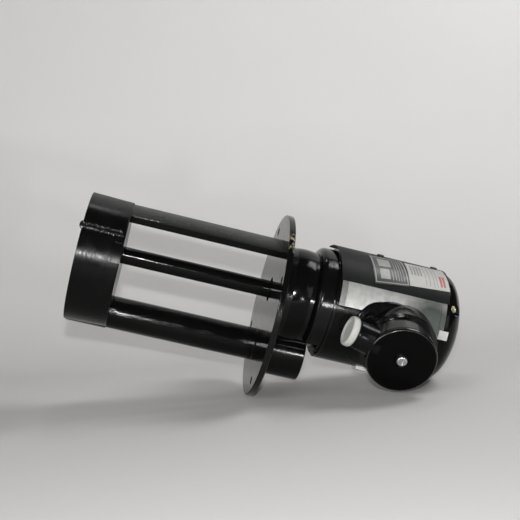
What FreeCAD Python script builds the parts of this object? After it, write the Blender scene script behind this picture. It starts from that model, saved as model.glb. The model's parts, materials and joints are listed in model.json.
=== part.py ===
import FreeCAD, Part
import math
import os

# Immersion coolant pump: a suction casing hung under a round mounting flange by a riser pipe
# and a support leg, with a small enclosed motor above the flange.
# The origin is the flange's centre on its tank side. +Z runs up towards the motor, -Y towards
# the terminal box, and +X towards the discharge. All lengths are in millimetres.

# Mounting flange and motor stool, one casting
FLANGE_R = 75.0
FLANGE_T = 5.0
FLANGE_EDGE = 0.8
FLANGE_HOLE_INSET = 10.0
FLANGE_HOLE_R = 3.5
FLANGE_HOLES = 4
SHAFT_X = -14.0
SHAFT_GAP_R = 10.0
NECK_INSET = 7.8
NECK_WALL = 4.0
SHOULDER_Z = 31.5
SHOULDER_INSET = 2.3
RIM_INSET = 0.2
RIM_T = 2.0
RELIEF_X = 20.0
RELIEF_TOP = 4.0
SEAT_DEPTH = 3.0

# Discharge boss with its side port
RISER_X = 39.0
BOSS_R = 21.8
BOSS_H = 36.0
BOSS_EDGE = 1.2
PORT_R = 9.5
PORT_LENGTH = 14.0
PORT_FACE = 19.0
PASSAGE_LEDGE = 2.0

# Riser pipe and support leg
RISER_R = 13.4
RISER_BORE_R = 11.1
LEG_ANGLES = (165.0, 193.0)
LEG_INSET = 0.5
LEG_T = 6.6
LEG_SPIGOT_R = 2.5
LEG_SPIGOT_INSET = 7.0

# Suction casing
IMMERSION = 155.0
CASING_X = -5.2
CASING_R = 51.5
CASING_TOP_R = 50.5
CASING_H = 33.5
CASING_EDGE = 1.0
CASING_WALL = 3.5
CASING_LID = 4.0
THROAT_R = 14.1
LEDGE_W = 2.5
LUG_R = 4.5
LUG_PITCH_R = 42.0
LUG_ANGLES = (60, 120, 240, 300)
SEAM_ANGLE = 219.0
SEAM_R = 1.1
NOTCH_ANGLES = (225.0, 243.0)
NOTCH_H = 7.5
NOTCH_DEPTH = 0.8

# Suction cover
COVER_RECESS = 4.0
COVER_T = 6.0
INLET_R = 17.0
INLET_LIP = 2.0
INLET_LIP_W = 3.0
COVER_SCREW_R = 2.0
COVER_SCREW_LENGTH = 14.0
COVER_HEAD_R = 3.8

# Impeller, key, washer and nut
IMPELLER_R = 32.0
SHROUD_T = 3.0
HUB_R = 11.0
HUB_LENGTH = 9.0
BLADES = 6
BLADE_T = 2.5
BLADE_ARC_R = 20.0
BLADE_ARC_X = 16.0
BLADE_GAP = 1.0
LID_GAP = 1.5
KEY_W = 3.0
KEY_LENGTH = 5.0
WASHER_T = 1.2
WASHER_R = 8.0
NUT_H = 5.0
NUT_R = 7.5

# Shaft steps
SHAFT_R = 7.0
STUB_R = 5.0
THREAD_R = 4.0
SEAL_SEAT_R = 7.5
SEAL_SEAT_Z = 20.0
COLLAR_R = 10.0
COLLAR_T = 3.0
ROTOR_SEAT_R = 9.0
UPPER_STEP_R = 8.0
UPPER_SEAT_R = 6.0

# Throttle bush, splash ring and shaft seal
BUSH_R = 11.0
BUSH_FLANGE_R = 13.5
BUSH_FLANGE_T = 1.2
SPLASH_R = 9.4
SPLASH_H = 5.0
SPLASH_Z = 12.0
SEAL_R = 13.0
SEAL_H = 7.0
SEAL_Z = 25.0
SEAL_WALL = 3.0

# Ball bearings: outside radius, width, ball radius, ball pitch radius, number of balls
LOWER_BEARING_R = 17.5
LOWER_BEARING_W = 11.0
LOWER_BALL_R = 3.0
LOWER_PITCH_R = 12.5
LOWER_BALLS = 8
UPPER_BEARING_R = 16.0
UPPER_BEARING_W = 10.0
UPPER_BALL_R = 2.95
UPPER_PITCH_R = 11.0
UPPER_BALLS = 7
CAGE_T = 1.6
RACE_GAP = 0.05
BEARING_Z = 34.0
HOUSING_WALL = 6.5
CIRCLIP_T = 1.1
CIRCLIP_R = 9.6
RETAINER_T = 2.0
RETAINER_SCREW_R = 1.5
RETAINER_SCREW_LENGTH = 8.0

# Motor
SHELL_Z = 48.0
SHELL_R = 45.6
SHELL_WALL = 2.0
SHELL_H = 88.0
SPIGOT_H = 4.0
SPIGOT_WALL = 5.5
STACK_Z = 66.0
STACK_H = 50.0
STATOR_BORE_R = 25.0
AIR_GAP = 0.5
SLOTS = 12
SLOT_W = 5.0
BACK_IRON = 6.6
SLOT_LINING = 0.3
WINDING_H = 13.0
WINDING_IN_R = 28.0
WINDING_INSET = 5.8
END_RING_T = 4.0
END_RING_IN_R = 13.0
VANES = 8
VANE_H = 7.0
VANE_T = 2.0
DOME_H = 20.5
DOME_WALL = 3.0
CROWN = 0.985
UPPER_BEARING_Z = 138.0
UPPER_HOUSING_WALL = 4.0
WAVE_WASHER_T = 1.0
TIE_INSET = 4.8
TIE_R = 2.0
TIE_ANGLES = (40, 130, 220, 310)
TIE_FOOT = 3.0
TIE_SEAT_H = 2.5
TIE_NUT_R = 4.0
TIE_NUT_H = 3.2
TIE_END = 1.5
TIE_LUG_R = 5.5
TIE_POCKET_R = 5.2

# Sheets around the motor
SIDE_PLATE_T = 0.6
SIDE_PLATE_ANGLES = (196.0, 243.0)
SIDE_PLATE_Z = (49.0, 134.5)
PLATE_CORNER_ANGLE = 254.5
PLATE_CORNER_Z = 114.0
HEM_W = 4.5
TOP_SHEET_T = 0.7
TOP_SHEET_ANGLES = (140.0, 218.5)
TOP_SHEET_Z = (42.0, 136.0)
TOP_SHEET_SLANT = 5.5
TOP_SHEET_CORNER_Z = 45.1
CLIP_ANGLES = (245.2, 254.0)
CLIP_Z = (131.5, 139.0)
CLIP_T = 1.0
TAB_ANGLES = (320.0, 338.0)
TAB_Z = (81.5, 96.0)
TAB_T = 2.8
SHEET_SCREW_ANGLE = 164.0
SHEET_SCREW_Z = (81.5, 127.0)
SHEET_SCREW_R = 1.5
SHEET_HEAD_R = 2.9
SHEET_HEAD_H = 1.4
NAMEPLATE_ANGLE = 192.0
NAMEPLATE_Z = 86.0
NAMEPLATE_W = 33.5
NAMEPLATE_H = 29.0
NAMEPLATE_T = 0.4
NAMEPLATE_SKEW = 8.0
LABEL_ANGLE = 188.0
LABEL_Z = 118.0
LABEL_W = 30.0
LABEL_H = 33.5
LABEL_SKEW = 5.0
LABEL_T = 0.2

# Terminal box. Names ending in _D are depths measured outwards from the shaft's axis.
BOX_Z = 103.0
BOX_COLLAR_R = 30.5
BOX_COLLAR_H = 3.9
BOX_FLOOR_H = 1.0
BOX_FOOT_R = 27.5
BOX_RIM_R = 26.3
BOX_WALL_H = 14.5
BOX_CAVITY_R = 23.5
GASKET_T = 0.7
BOX_COVER_R = 27.6
BOX_COVER_T = 4.3
BOX_COVER_SKIN = 2.5
PILLAR_R = 4.5
COVER_BOLT_R = 2.0
COVER_BOLT_HEAD_R = 4.25
COVER_BOLT_HEAD_H = 2.8
COVER_BOLT_LENGTH = 14.0
SPOT_R = 6.0
SPOT_DEPTH = 1.0
PEDESTAL_W = 30.0
PEDESTAL_L = 36.0
PEDESTAL_FILLET = 6.0
WIRE_HOLE_R = 6.0
WIRE_HOLE_Z = 16.5
WIRE_R = 0.9
WIRE_GAP = 0.3
BLOCK_X = 32.0
BLOCK_Y = 10.0
BLOCK_H = 8.0
BLOCK_OFFSET = -14.0
TERMINALS = 3
TERMINAL_PITCH = 10.0
TERMINAL_SCREW_R = 1.5
TERMINAL_HEAD_R = 2.8
TERMINAL_HEAD_H = 1.5
TERMINAL_SCREW_LENGTH = 5.0
TERMINAL_HOLE_DEPTH = 6.0
TERMINAL_SLOT = 0.8
BOX_SCREW_X = 17.5
BOX_SCREW_R = 2.0
BOX_HEAD_R = 3.6
BOX_HEAD_H = 2.4
EARTH_X = 15.0
EARTH_Y = 9.0

# Cable entry on the terminal box, closed with a blind plug
GLAND_ANGLE = 12.0
GLAND_H = 8.0
GLAND_R = 10.0
GLAND_BORE_R = 4.8
GLAND_THREAD_R = 6.3
GLAND_START = 28.0
GLAND_LENGTH = 11.5
SEAL_RING_T = 0.8
PLUG_R = 12.0
PLUG_T = 6.0
PLUG_DISH_R = 9.2
PLUG_DISH = 1.2
PLUG_STEM = 8.0

# Clearances
SEAT = 0.05
RUN = 0.06

SUCTION_Z = -IMMERSION
CASING_TOP_Z = SUCTION_Z + CASING_H
LID_Z = CASING_TOP_Z - CASING_LID
CAVITY_R = CASING_TOP_R - CASING_WALL
COVER_TOP_Z = SUCTION_Z + COVER_RECESS + COVER_T
SHROUD_TOP_Z = LID_Z - LID_GAP
SHROUD_Z = SHROUD_TOP_Z - SHROUD_T
HUB_Z = SHROUD_TOP_Z - HUB_LENGTH
BLADE_Z = COVER_TOP_Z + BLADE_GAP
BOSS_TOP_Z = FLANGE_T + BOSS_H
PORT_Z = FLANGE_T + BOSS_H / 2
RISER_FOOT_Z = CASING_TOP_Z - SEAT_DEPTH
LEG_OUT_R = CASING_TOP_R - LEG_INSET
LEG_IN_R = LEG_OUT_R - LEG_T
LEG_PITCH_R = LEG_OUT_R - LEG_T / 2
LEG_SPIGOT_ANGLES = (LEG_ANGLES[0] + LEG_SPIGOT_INSET, LEG_ANGLES[1] - LEG_SPIGOT_INSET)
FLANGE_PCD = 2 * (FLANGE_R - FLANGE_HOLE_INSET)
NECK_R = SHELL_R - NECK_INSET
SHOULDER_R = SHELL_R - SHOULDER_INSET
RIM_R = SHELL_R - RIM_INSET
RELIEF_TOP_Z = SHELL_Z - RELIEF_TOP
SHELL_IN_R = SHELL_R - SHELL_WALL
SHELL_TOP_Z = SHELL_Z + SHELL_H
SPIGOT_R = SHELL_IN_R - SEAT
STACK_TOP_Z = STACK_Z + STACK_H
SLOT_R = SHELL_IN_R - BACK_IRON
WINDING_OUT_R = SHELL_IN_R - WINDING_INSET
TIE_PITCH_R = SHELL_R - TIE_INSET
TIE_FOOT_Z = SHELL_Z - TIE_FOOT
TIE_SEAT_Z = SHELL_TOP_Z + TIE_SEAT_H
ROTOR_R = STATOR_BORE_R - AIR_GAP
COLLAR_Z = BEARING_Z + LOWER_BEARING_W
SHAFT_TOP_Z = UPPER_BEARING_Z + UPPER_BEARING_W
WAVE_Z = UPPER_BEARING_Z + UPPER_BEARING_W
SPIGOT_FOOT_Z = SHELL_TOP_Z - SPIGOT_H
HOUSING_R = LOWER_BEARING_R + HOUSING_WALL
SIDE_PLATE_R = SHELL_R + SIDE_PLATE_T
HEM_R = SIDE_PLATE_R + SIDE_PLATE_T
TOP_SHEET_IN_R = HEM_R + SEAT
TOP_SHEET_R = TOP_SHEET_IN_R + TOP_SHEET_T
BOX_COLLAR_D = SHELL_R + BOX_COLLAR_H
BOX_FLOOR_D = BOX_COLLAR_D + BOX_FLOOR_H
BOX_RIM_D = BOX_COLLAR_D + BOX_WALL_H
GLAND_D = BOX_COLLAR_D + GLAND_H
COVER_BACK_D = BOX_RIM_D + GASKET_T
COVER_FRONT_D = COVER_BACK_D + BOX_COVER_T
PILLAR_TOP_D = COVER_FRONT_D - BOX_COVER_SKIN
GLAND_END = GLAND_START + GLAND_LENGTH
PLUG_START = GLAND_END + SEAL_RING_T

UP = FreeCAD.Vector(0, 0, 1)


def vec(x, y, z):
    return FreeCAD.Vector(x, y, z)


def rod(r, z0, z1, x=SHAFT_X, y=0.0):
    """Upright cylinder from z0 to z1."""
    return Part.makeCylinder(r, z1 - z0, vec(x, y, z0))


def tube(r_out, r_in, z0, z1, x=SHAFT_X, y=0.0):
    return rod(r_out, z0, z1, x, y).cut(rod(r_in, z0, z1, x, y))


def turned(points, x=SHAFT_X):
    """Solid turned about the upright line at x, from its (radius, height) outline."""
    wire = Part.makePolygon([vec(x + r, 0, z) for r, z in points + points[:1]])
    return Part.Face(wire).revolve(vec(x, 0, 0), UP, 360)


def polar(r, degrees, x=SHAFT_X):
    a = math.radians(degrees)
    return x + r * math.cos(a), r * math.sin(a)


def wedge(r, z0, z1, a0, a1, x=SHAFT_X):
    """Slice of a cylinder between two angles."""
    slice_ = Part.makeCylinder(r, z1 - z0, vec(0, 0, z0), UP, a1 - a0)
    slice_.rotate(vec(0, 0, 0), UP, a0)
    slice_.translate(vec(x, 0, 0))
    return slice_


def curved_sheet(r_in, r_out, z0, z1, a0, a1, x=SHAFT_X):
    return wedge(r_out, z0, z1, a0, a1, x).cut(rod(r_in, z0, z1, x))


def hexagon(r, z0, z1, x=SHAFT_X, y=0.0):
    """Upright hexagonal prism, r to its corners."""
    corners = [vec(x + r * math.cos(k * math.pi / 3), y + r * math.sin(k * math.pi / 3), z0) for k in range(7)]
    return Part.Face(Part.makePolygon(corners)).extrude(vec(0, 0, z1 - z0))


def around(shape, count, x=SHAFT_X):
    """Copies of a shape, evenly spaced about the upright line at x."""
    copies = []
    for k in range(count):
        copy = shape.copy()
        copy.rotate(vec(x, 0, 0), UP, 360.0 * k / count)
        copies.append(copy)
    return copies


def rounded_rim(shape, z, r):
    """Rounds the outer edge that lies at height z."""
    rims = [e for e in shape.Edges if e.Closed and abs(e.BoundBox.ZMin - z) + abs(e.BoundBox.ZMax - z) < 0.01]
    return shape.makeFillet(r, [max(rims, key=lambda e: e.Length)])


def fused(shapes):
    return shapes[0].multiFuse(shapes[1:]).removeSplitter()


def on_box(shape):
    """Carries a shape from the terminal box's own axes, where +Z points out of the motor."""
    placed = shape.copy()
    placed.Placement = FreeCAD.Placement(vec(SHAFT_X, 0, BOX_Z), FreeCAD.Rotation(vec(1, 0, 0), 90))
    return placed


def on_gland(r, start, end):
    """Cylinder along the cable entry, from start to end, in the terminal box's own axes."""
    a = math.radians(GLAND_ANGLE)
    along = vec(-math.sin(a), -math.cos(a), 0)
    return Part.makeCylinder(r, end - start, along * start + vec(0, 0, GLAND_D), along)


# Pump end

def lug_places():
    return [polar(LUG_PITCH_R, a, CASING_X) for a in LUG_ANGLES]


def suction_casing():
    outer = Part.makeCone(CASING_R, CASING_TOP_R, CASING_H, vec(CASING_X, 0, SUCTION_Z))
    outer = rounded_rim(outer, CASING_TOP_Z, CASING_EDGE)
    outer = outer.fuse(rod(THROAT_R, SUCTION_Z, CASING_TOP_Z - CASING_EDGE, RISER_X))
    seam_x, seam_y = polar(CASING_R - CASING_WALL / 4, SEAM_ANGLE, CASING_X)
    seam = rod(SEAM_R, SUCTION_Z, CASING_TOP_Z - SEAM_R, seam_x, seam_y)
    chamber = rod(CAVITY_R, SUCTION_Z, COVER_TOP_Z, CASING_X)
    chamber = chamber.fuse(rod(CAVITY_R - LEDGE_W, COVER_TOP_Z, LID_Z, CASING_X))
    throat = rod(RISER_BORE_R, COVER_TOP_Z + BLADE_GAP, CASING_TOP_Z, RISER_X)
    seat = rod(RISER_R + SEAT, RISER_FOOT_Z, CASING_TOP_Z, RISER_X)
    notch = curved_sheet(CASING_TOP_R - NOTCH_DEPTH, CASING_R, CASING_TOP_Z - NOTCH_H, CASING_TOP_Z,
                         *NOTCH_ANGLES, CASING_X)
    body = outer.fuse(seam).cut(chamber).cut(throat).cut(seat).cut(notch)
    for x, y in lug_places():
        lug = rod(LUG_R, COVER_TOP_Z, LID_Z, x, y)
        body = body.fuse(lug.common(rod(CAVITY_R, SUCTION_Z, CASING_TOP_Z, CASING_X)))
        body = body.cut(rod(COVER_SCREW_R + SEAT, COVER_TOP_Z, COVER_TOP_Z + COVER_SCREW_LENGTH, x, y))
    body = body.cut(rod(BUSH_R + SEAT, LID_Z, CASING_TOP_Z))
    body = body.cut(rod(BUSH_FLANGE_R + SEAT, LID_Z, LID_Z + BUSH_FLANGE_T))
    for spigot in leg_spigots(LEG_SPIGOT_R + SEAT):
        body = body.cut(spigot)
    return body.removeSplitter()


def suction_cover():
    z0 = COVER_TOP_Z - COVER_T
    plate = rod(CAVITY_R - SEAT, z0, COVER_TOP_Z, CASING_X)
    plate = plate.fuse(rod(INLET_R + INLET_LIP_W, z0 - INLET_LIP, z0)).cut(rod(INLET_R, z0 - INLET_LIP, COVER_TOP_Z))
    head_depth = COVER_HEAD_R - COVER_SCREW_R
    for x, y in lug_places():
        plate = plate.cut(rod(COVER_SCREW_R + SEAT, z0, COVER_TOP_Z, x, y))
        sink = Part.makeCone(COVER_HEAD_R + SEAT, COVER_SCREW_R + SEAT, head_depth, vec(x, y, z0))
        plate = plate.cut(sink)
    return plate.removeSplitter()


def suction_cover_screws():
    z0 = COVER_TOP_Z - COVER_T
    head_depth = COVER_HEAD_R - COVER_SCREW_R
    screws = []
    for x, y in lug_places():
        head = Part.makeCone(COVER_HEAD_R, COVER_SCREW_R, head_depth, vec(x, y, z0))
        shank = rod(COVER_SCREW_R, z0 + head_depth, COVER_TOP_Z + COVER_SCREW_LENGTH - 1, x, y)
        slot = Part.makeBox(COVER_HEAD_R * 2, 1, 1, vec(x - COVER_HEAD_R, y - 0.5, z0))
        screws.append(head.fuse(shank).cut(slot))
    return Part.makeCompound(screws)


def throttle_bush():
    body = rod(BUSH_R, LID_Z, CASING_TOP_Z).fuse(rod(BUSH_FLANGE_R, LID_Z, LID_Z + BUSH_FLANGE_T))
    return body.cut(rod(SHAFT_R + RUN, LID_Z, CASING_TOP_Z)).removeSplitter()


def riser_pipe():
    return tube(RISER_R, RISER_BORE_R, RISER_FOOT_Z, SEAT_DEPTH, RISER_X)


def leg_spigots(r):
    spots = [polar(LEG_PITCH_R, a, CASING_X) for a in LEG_SPIGOT_ANGLES]
    return [rod(r, CASING_TOP_Z - SEAT_DEPTH, CASING_TOP_Z, x, y) for x, y in spots]


def support_leg():
    """Strip that follows the casing's wall up to the flange."""
    strip = curved_sheet(LEG_IN_R, LEG_OUT_R, CASING_TOP_Z, SEAT_DEPTH, *LEG_ANGLES, CASING_X)
    return fused([strip] + leg_spigots(LEG_SPIGOT_R))


def key_slot(gap):
    half = KEY_W / 2 + gap
    x = SHAFT_X + STUB_R - half
    return Part.makeBox(2 * half, 2 * half, KEY_LENGTH + 2 * gap, vec(x, -half, HUB_Z + KEY_W - gap))


def impeller():
    body = rod(IMPELLER_R, SHROUD_Z, SHROUD_TOP_Z).fuse(rod(HUB_R, HUB_Z, SHROUD_TOP_Z))
    arc = tube(BLADE_ARC_R + BLADE_T / 2, BLADE_ARC_R - BLADE_T / 2, BLADE_Z, SHROUD_Z, SHAFT_X + BLADE_ARC_X)
    side = Part.makeBox(3 * IMPELLER_R, 2 * IMPELLER_R, COVER_TOP_Z + IMMERSION + CASING_H,
                        vec(SHAFT_X - IMPELLER_R, 0, SUCTION_Z))
    blade = arc.common(side).common(tube(IMPELLER_R - 0.5, HUB_R - 1, BLADE_Z, SHROUD_Z))
    body = fused([body] + around(blade, BLADES))
    body = body.cut(rod(STUB_R + SEAT, HUB_Z - KEY_W, SHROUD_TOP_Z))
    return body.cut(key_slot(SEAT)).removeSplitter()


def impeller_key():
    return key_slot(0)


def impeller_washer():
    return tube(WASHER_R, THREAD_R + SEAT, HUB_Z - WASHER_T, HUB_Z)


def impeller_nut():
    z1 = HUB_Z - WASHER_T
    return hexagon(NUT_R, z1 - NUT_H, z1).cut(rod(THREAD_R + SEAT, z1 - NUT_H, z1))


# Shaft line

def shaft():
    outline = [
        (0, HUB_Z - WASHER_T - NUT_H - 1), (THREAD_R, HUB_Z - WASHER_T - NUT_H - 1), (THREAD_R, HUB_Z),
        (STUB_R, HUB_Z), (STUB_R, SHROUD_TOP_Z), (SHAFT_R, SHROUD_TOP_Z), (SHAFT_R, SEAL_SEAT_Z),
        (SEAL_SEAT_R, SEAL_SEAT_Z), (SEAL_SEAT_R, COLLAR_Z), (COLLAR_R, COLLAR_Z),
        (COLLAR_R, COLLAR_Z + COLLAR_T), (ROTOR_SEAT_R, COLLAR_Z + COLLAR_T),
        (ROTOR_SEAT_R, STACK_TOP_Z + END_RING_T), (UPPER_STEP_R, STACK_TOP_Z + END_RING_T),
        (UPPER_STEP_R, UPPER_BEARING_Z), (UPPER_SEAT_R, UPPER_BEARING_Z), (UPPER_SEAT_R, SHAFT_TOP_Z),
        (0, SHAFT_TOP_Z),
    ]
    groove = tube(SEAL_SEAT_R + 1, SEAL_SEAT_R - 0.6, BEARING_Z - CIRCLIP_T, BEARING_Z)
    return turned(outline).cut(groove).cut(key_slot(SEAT))


def splash_ring():
    outline = [(SHAFT_R + SEAT, SPLASH_Z), (SPLASH_R, SPLASH_Z), (SPLASH_R, SPLASH_Z + 1),
               (SPLASH_R - 1, SPLASH_Z + 2), (SPLASH_R - 1, SPLASH_Z + SPLASH_H),
               (SHAFT_R + SEAT, SPLASH_Z + SPLASH_H)]
    return turned(outline)


def shaft_seal():
    top = SEAL_Z + SEAL_H
    outline = [(SEAL_R, SEAL_Z), (SEAL_R, top), (SEAL_R - SEAL_WALL, top), (SEAL_R - SEAL_WALL, SEAL_Z + 2),
               (SEAL_SEAT_R + 1, SEAL_Z + 4), (SEAL_SEAT_R + RUN, SEAL_Z + 3), (SEAL_SEAT_R + RUN, SEAL_Z + 2),
               (SEAL_SEAT_R + 1, SEAL_Z)]
    return turned(outline)


def bearing_circlip():
    ring = tube(CIRCLIP_R, SEAL_SEAT_R - 0.6 + SEAT, BEARING_Z - CIRCLIP_T, BEARING_Z)
    gap = Part.makeBox(CIRCLIP_R, 4, CIRCLIP_T, vec(SHAFT_X, -2, BEARING_Z - CIRCLIP_T))
    return ring.cut(gap)


def bearing_groove(ball_r, pitch_r, z):
    return Part.makeTorus(pitch_r, ball_r + RACE_GAP, vec(SHAFT_X, 0, z), UP)


def inner_race(bore_r, width, ball_r, pitch_r, z0):
    ring = tube(pitch_r - ball_r * 0.72, bore_r + SEAT, z0, z0 + width)
    return ring.cut(bearing_groove(ball_r, pitch_r, z0 + width / 2))


def outer_race(outer_r, width, ball_r, pitch_r, z0):
    ring = tube(outer_r, pitch_r + ball_r * 0.72, z0, z0 + width)
    return ring.cut(bearing_groove(ball_r, pitch_r, z0 + width / 2))


def balls(ball_r, pitch_r, count, z):
    ball = Part.makeSphere(ball_r, vec(SHAFT_X + pitch_r, 0, z))
    return around(ball, count)


def cage(ball_r, pitch_r, count, z):
    half = ball_r * 1.3
    ring = tube(pitch_r + CAGE_T / 2, pitch_r - CAGE_T / 2, z - half, z + half)
    pocket = Part.makeCylinder(ball_r + 3 * RACE_GAP, pitch_r, vec(SHAFT_X + pitch_r / 2, 0, z), vec(1, 0, 0))
    for cutter in around(pocket, count):
        ring = ring.cut(cutter)
    return ring


def bearing_retainer():
    ring = tube(HOUSING_R, LOWER_BEARING_R - 2, COLLAR_Z, COLLAR_Z + RETAINER_T)
    for hole in retainer_screw_rods(RETAINER_SCREW_R + SEAT):
        ring = ring.cut(hole)
    return ring


def retainer_screw_rods(r):
    x = SHAFT_X + LOWER_BEARING_R + HOUSING_WALL / 2
    return around(rod(r, COLLAR_Z + RETAINER_T - RETAINER_SCREW_LENGTH, COLLAR_Z + RETAINER_T, x), 3)


def retainer_screws():
    x = SHAFT_X + LOWER_BEARING_R + HOUSING_WALL / 2
    z = COLLAR_Z + RETAINER_T
    heads = around(rod(RETAINER_SCREW_R * 1.8, z, z + RETAINER_SCREW_R, x), 3)
    return Part.makeCompound([h.fuse(s) for h, s in zip(heads, retainer_screw_rods(RETAINER_SCREW_R))])


# Flange casting

def shoulder_outline():
    """Half section of the stool: neck, rounded shoulder, rim, spigot and bearing housing."""
    neck_in = NECK_R - NECK_WALL
    bend = SHOULDER_R - NECK_R
    spigot_in = SPIGOT_R - SPIGOT_WALL
    seal_bore = SEAL_R + SEAT
    before = [(neck_in, FLANGE_T / 2), (NECK_R, FLANGE_T / 2), (NECK_R, SHOULDER_Z)]
    after = [(SHOULDER_R, SHOULDER_Z + bend), (SHOULDER_R, SHELL_Z - RIM_T), (RIM_R, SHELL_Z - RIM_T),
             (RIM_R, SHELL_Z), (SPIGOT_R, SHELL_Z), (SPIGOT_R, SHELL_Z + SPIGOT_H),
             (spigot_in, SHELL_Z + SPIGOT_H), (spigot_in, RELIEF_TOP_Z), (neck_in, RELIEF_TOP_Z),
             (neck_in, BEARING_Z + 3), (HOUSING_R, BEARING_Z + 3), (HOUSING_R, COLLAR_Z),
             (LOWER_BEARING_R + SEAT, COLLAR_Z), (LOWER_BEARING_R + SEAT, BEARING_Z), (seal_bore, BEARING_Z),
             (seal_bore, SEAL_Z), (SHAFT_GAP_R, SEAL_Z), (SHAFT_GAP_R, SEAL_Z - 3),
             (seal_bore + 4, SEAL_Z - 3), (seal_bore + 4, BEARING_Z - 4), (neck_in, BEARING_Z - 4),
             (neck_in, FLANGE_T / 2)]
    lower = [vec(SHAFT_X + r, 0, z) for r, z in before]
    upper = [vec(SHAFT_X + r, 0, z) for r, z in after]
    mid_r = NECK_R + bend * math.sin(math.pi / 4)
    mid_z = SHOULDER_Z + bend * (1 - math.cos(math.pi / 4))
    arc = Part.Arc(lower[-1], vec(SHAFT_X + mid_r, 0, mid_z), upper[0]).toShape()
    return Part.Wire([*Part.makePolygon(lower).Edges, arc, *Part.makePolygon(upper).Edges])


def discharge_passage():
    ledge_z = FLANGE_T + PASSAGE_LEDGE
    lower = rod(RISER_BORE_R, 0, ledge_z, RISER_X)
    upper = rod(RISER_BORE_R, ledge_z, PORT_Z + PORT_R, RISER_X)
    room = PORT_FACE - PORT_LENGTH
    keep = Part.makeBox(2 * BOSS_R, 2 * BOSS_R, BOSS_H, vec(RISER_X + room - 2 * BOSS_R, -BOSS_R, ledge_z))
    port = Part.makeCylinder(PORT_R, PORT_LENGTH, vec(RISER_X + room, 0, PORT_Z), vec(1, 0, 0))
    return fused([lower, upper.common(keep), port])


def flange_casting():
    plate = rod(FLANGE_R, 0, FLANGE_T, 0)
    plate = rounded_rim(rounded_rim(plate, FLANGE_T, FLANGE_EDGE), 0, FLANGE_EDGE)
    stool = Part.Face(shoulder_outline()).revolve(vec(SHAFT_X, 0, 0), UP, 360)
    relief = tube(RIM_R, NECK_R, SHOULDER_Z, RELIEF_TOP_Z)
    beyond = Part.makeBox(RIM_R, 2 * RIM_R, BOSS_TOP_Z, vec(SHAFT_X + RELIEF_X, -RIM_R, SHOULDER_Z))
    stool = stool.cut(relief.common(beyond))
    boss = rounded_rim(rod(BOSS_R, 0, BOSS_TOP_Z, RISER_X), BOSS_TOP_Z, BOSS_EDGE)
    boss = boss.cut(Part.makeBox(BOSS_R, 2 * BOSS_R, BOSS_H, vec(RISER_X + PORT_FACE, -BOSS_R, FLANGE_T)))
    boss = boss.cut(rod(NECK_R - NECK_WALL, FLANGE_T, BOSS_TOP_Z))
    body = fused([plate, stool, boss])
    body = body.cut(rod(SHAFT_GAP_R, 0, FLANGE_T)).cut(discharge_passage())
    body = body.cut(rod(RISER_R + SEAT, 0, SEAT_DEPTH, RISER_X))
    gap = math.degrees(SEAT / LEG_IN_R)
    body = body.cut(curved_sheet(LEG_IN_R - SEAT, LEG_OUT_R + SEAT, 0, SEAT_DEPTH,
                                 LEG_ANGLES[0] - gap, LEG_ANGLES[1] + gap, CASING_X))
    for k in range(FLANGE_HOLES):
        x, y = polar(FLANGE_PCD / 2, 45 + 360 * k / FLANGE_HOLES, 0)
        body = body.cut(rod(FLANGE_HOLE_R, 0, FLANGE_T, x, y))
    for a in TIE_ANGLES:
        x, y = polar(TIE_PITCH_R, a)
        body = body.cut(rod(TIE_R + SEAT, TIE_FOOT_Z, SHELL_Z + SPIGOT_H, x, y))
    for hole in retainer_screw_rods(RETAINER_SCREW_R + SEAT):
        body = body.cut(hole)
    return body.removeSplitter()


# Motor

def stator_core():
    core = tube(SHELL_IN_R - SEAT, STATOR_BORE_R, STACK_Z, STACK_TOP_Z)
    slot = Part.makeBox(SLOT_R - STATOR_BORE_R - 2, SLOT_W, STACK_H,
                        vec(SHAFT_X + STATOR_BORE_R + 2, -SLOT_W / 2, STACK_Z))
    mouth = Part.makeBox(STATOR_BORE_R, 1.6, STACK_H, vec(SHAFT_X + SHAFT_R, -0.8, STACK_Z))
    for cutter in around(slot.fuse(mouth), SLOTS):
        core = core.cut(cutter)
    for a in TIE_ANGLES:
        x, y = polar(TIE_PITCH_R, a)
        core = core.cut(rod(TIE_R + 0.5, STACK_Z, STACK_TOP_Z, x, y))
    return core.removeSplitter()


def stator_windings():
    z_low = STACK_Z - WINDING_H
    lower = tube(WINDING_OUT_R, WINDING_IN_R, z_low, STACK_Z)
    upper = tube(WINDING_OUT_R, WINDING_IN_R, STACK_TOP_Z, STACK_TOP_Z + WINDING_H)
    r0 = STATOR_BORE_R + 2 + SLOT_LINING
    width = SLOT_W - 2 * SLOT_LINING
    bar = Part.makeBox(SLOT_R - SLOT_LINING - r0, width, STACK_H, vec(SHAFT_X + r0, -width / 2, STACK_Z))
    rings = [lower.makeFillet(2.5, lower.Edges), upper.makeFillet(2.5, upper.Edges)]
    bars = [b.cut(rod(WINDING_IN_R, STACK_Z, STACK_TOP_Z)) for b in around(bar, SLOTS)]
    bridge = tube(WINDING_OUT_R - 3, WINDING_IN_R + 3, STACK_Z - 1, STACK_Z)
    return fused(rings + bars + [bridge])


def rotor_core():
    return tube(ROTOR_R, ROTOR_SEAT_R + SEAT, STACK_Z, STACK_TOP_Z)


def rotor_end_ring(z0, z_vane):
    ring = tube(ROTOR_R - 0.5, END_RING_IN_R, z0, z0 + END_RING_T)
    vane = Part.makeBox(ROTOR_R - END_RING_IN_R - 2, VANE_T, VANE_H,
                        vec(SHAFT_X + END_RING_IN_R + 1, -VANE_T / 2, z_vane))
    return fused([ring] + around(vane, VANES))


def rotor_end_rings():
    lower = rotor_end_ring(STACK_Z - END_RING_T, STACK_Z - END_RING_T - VANE_H)
    upper = rotor_end_ring(STACK_TOP_Z, STACK_TOP_Z + END_RING_T)
    return Part.makeCompound([lower, upper])


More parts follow.
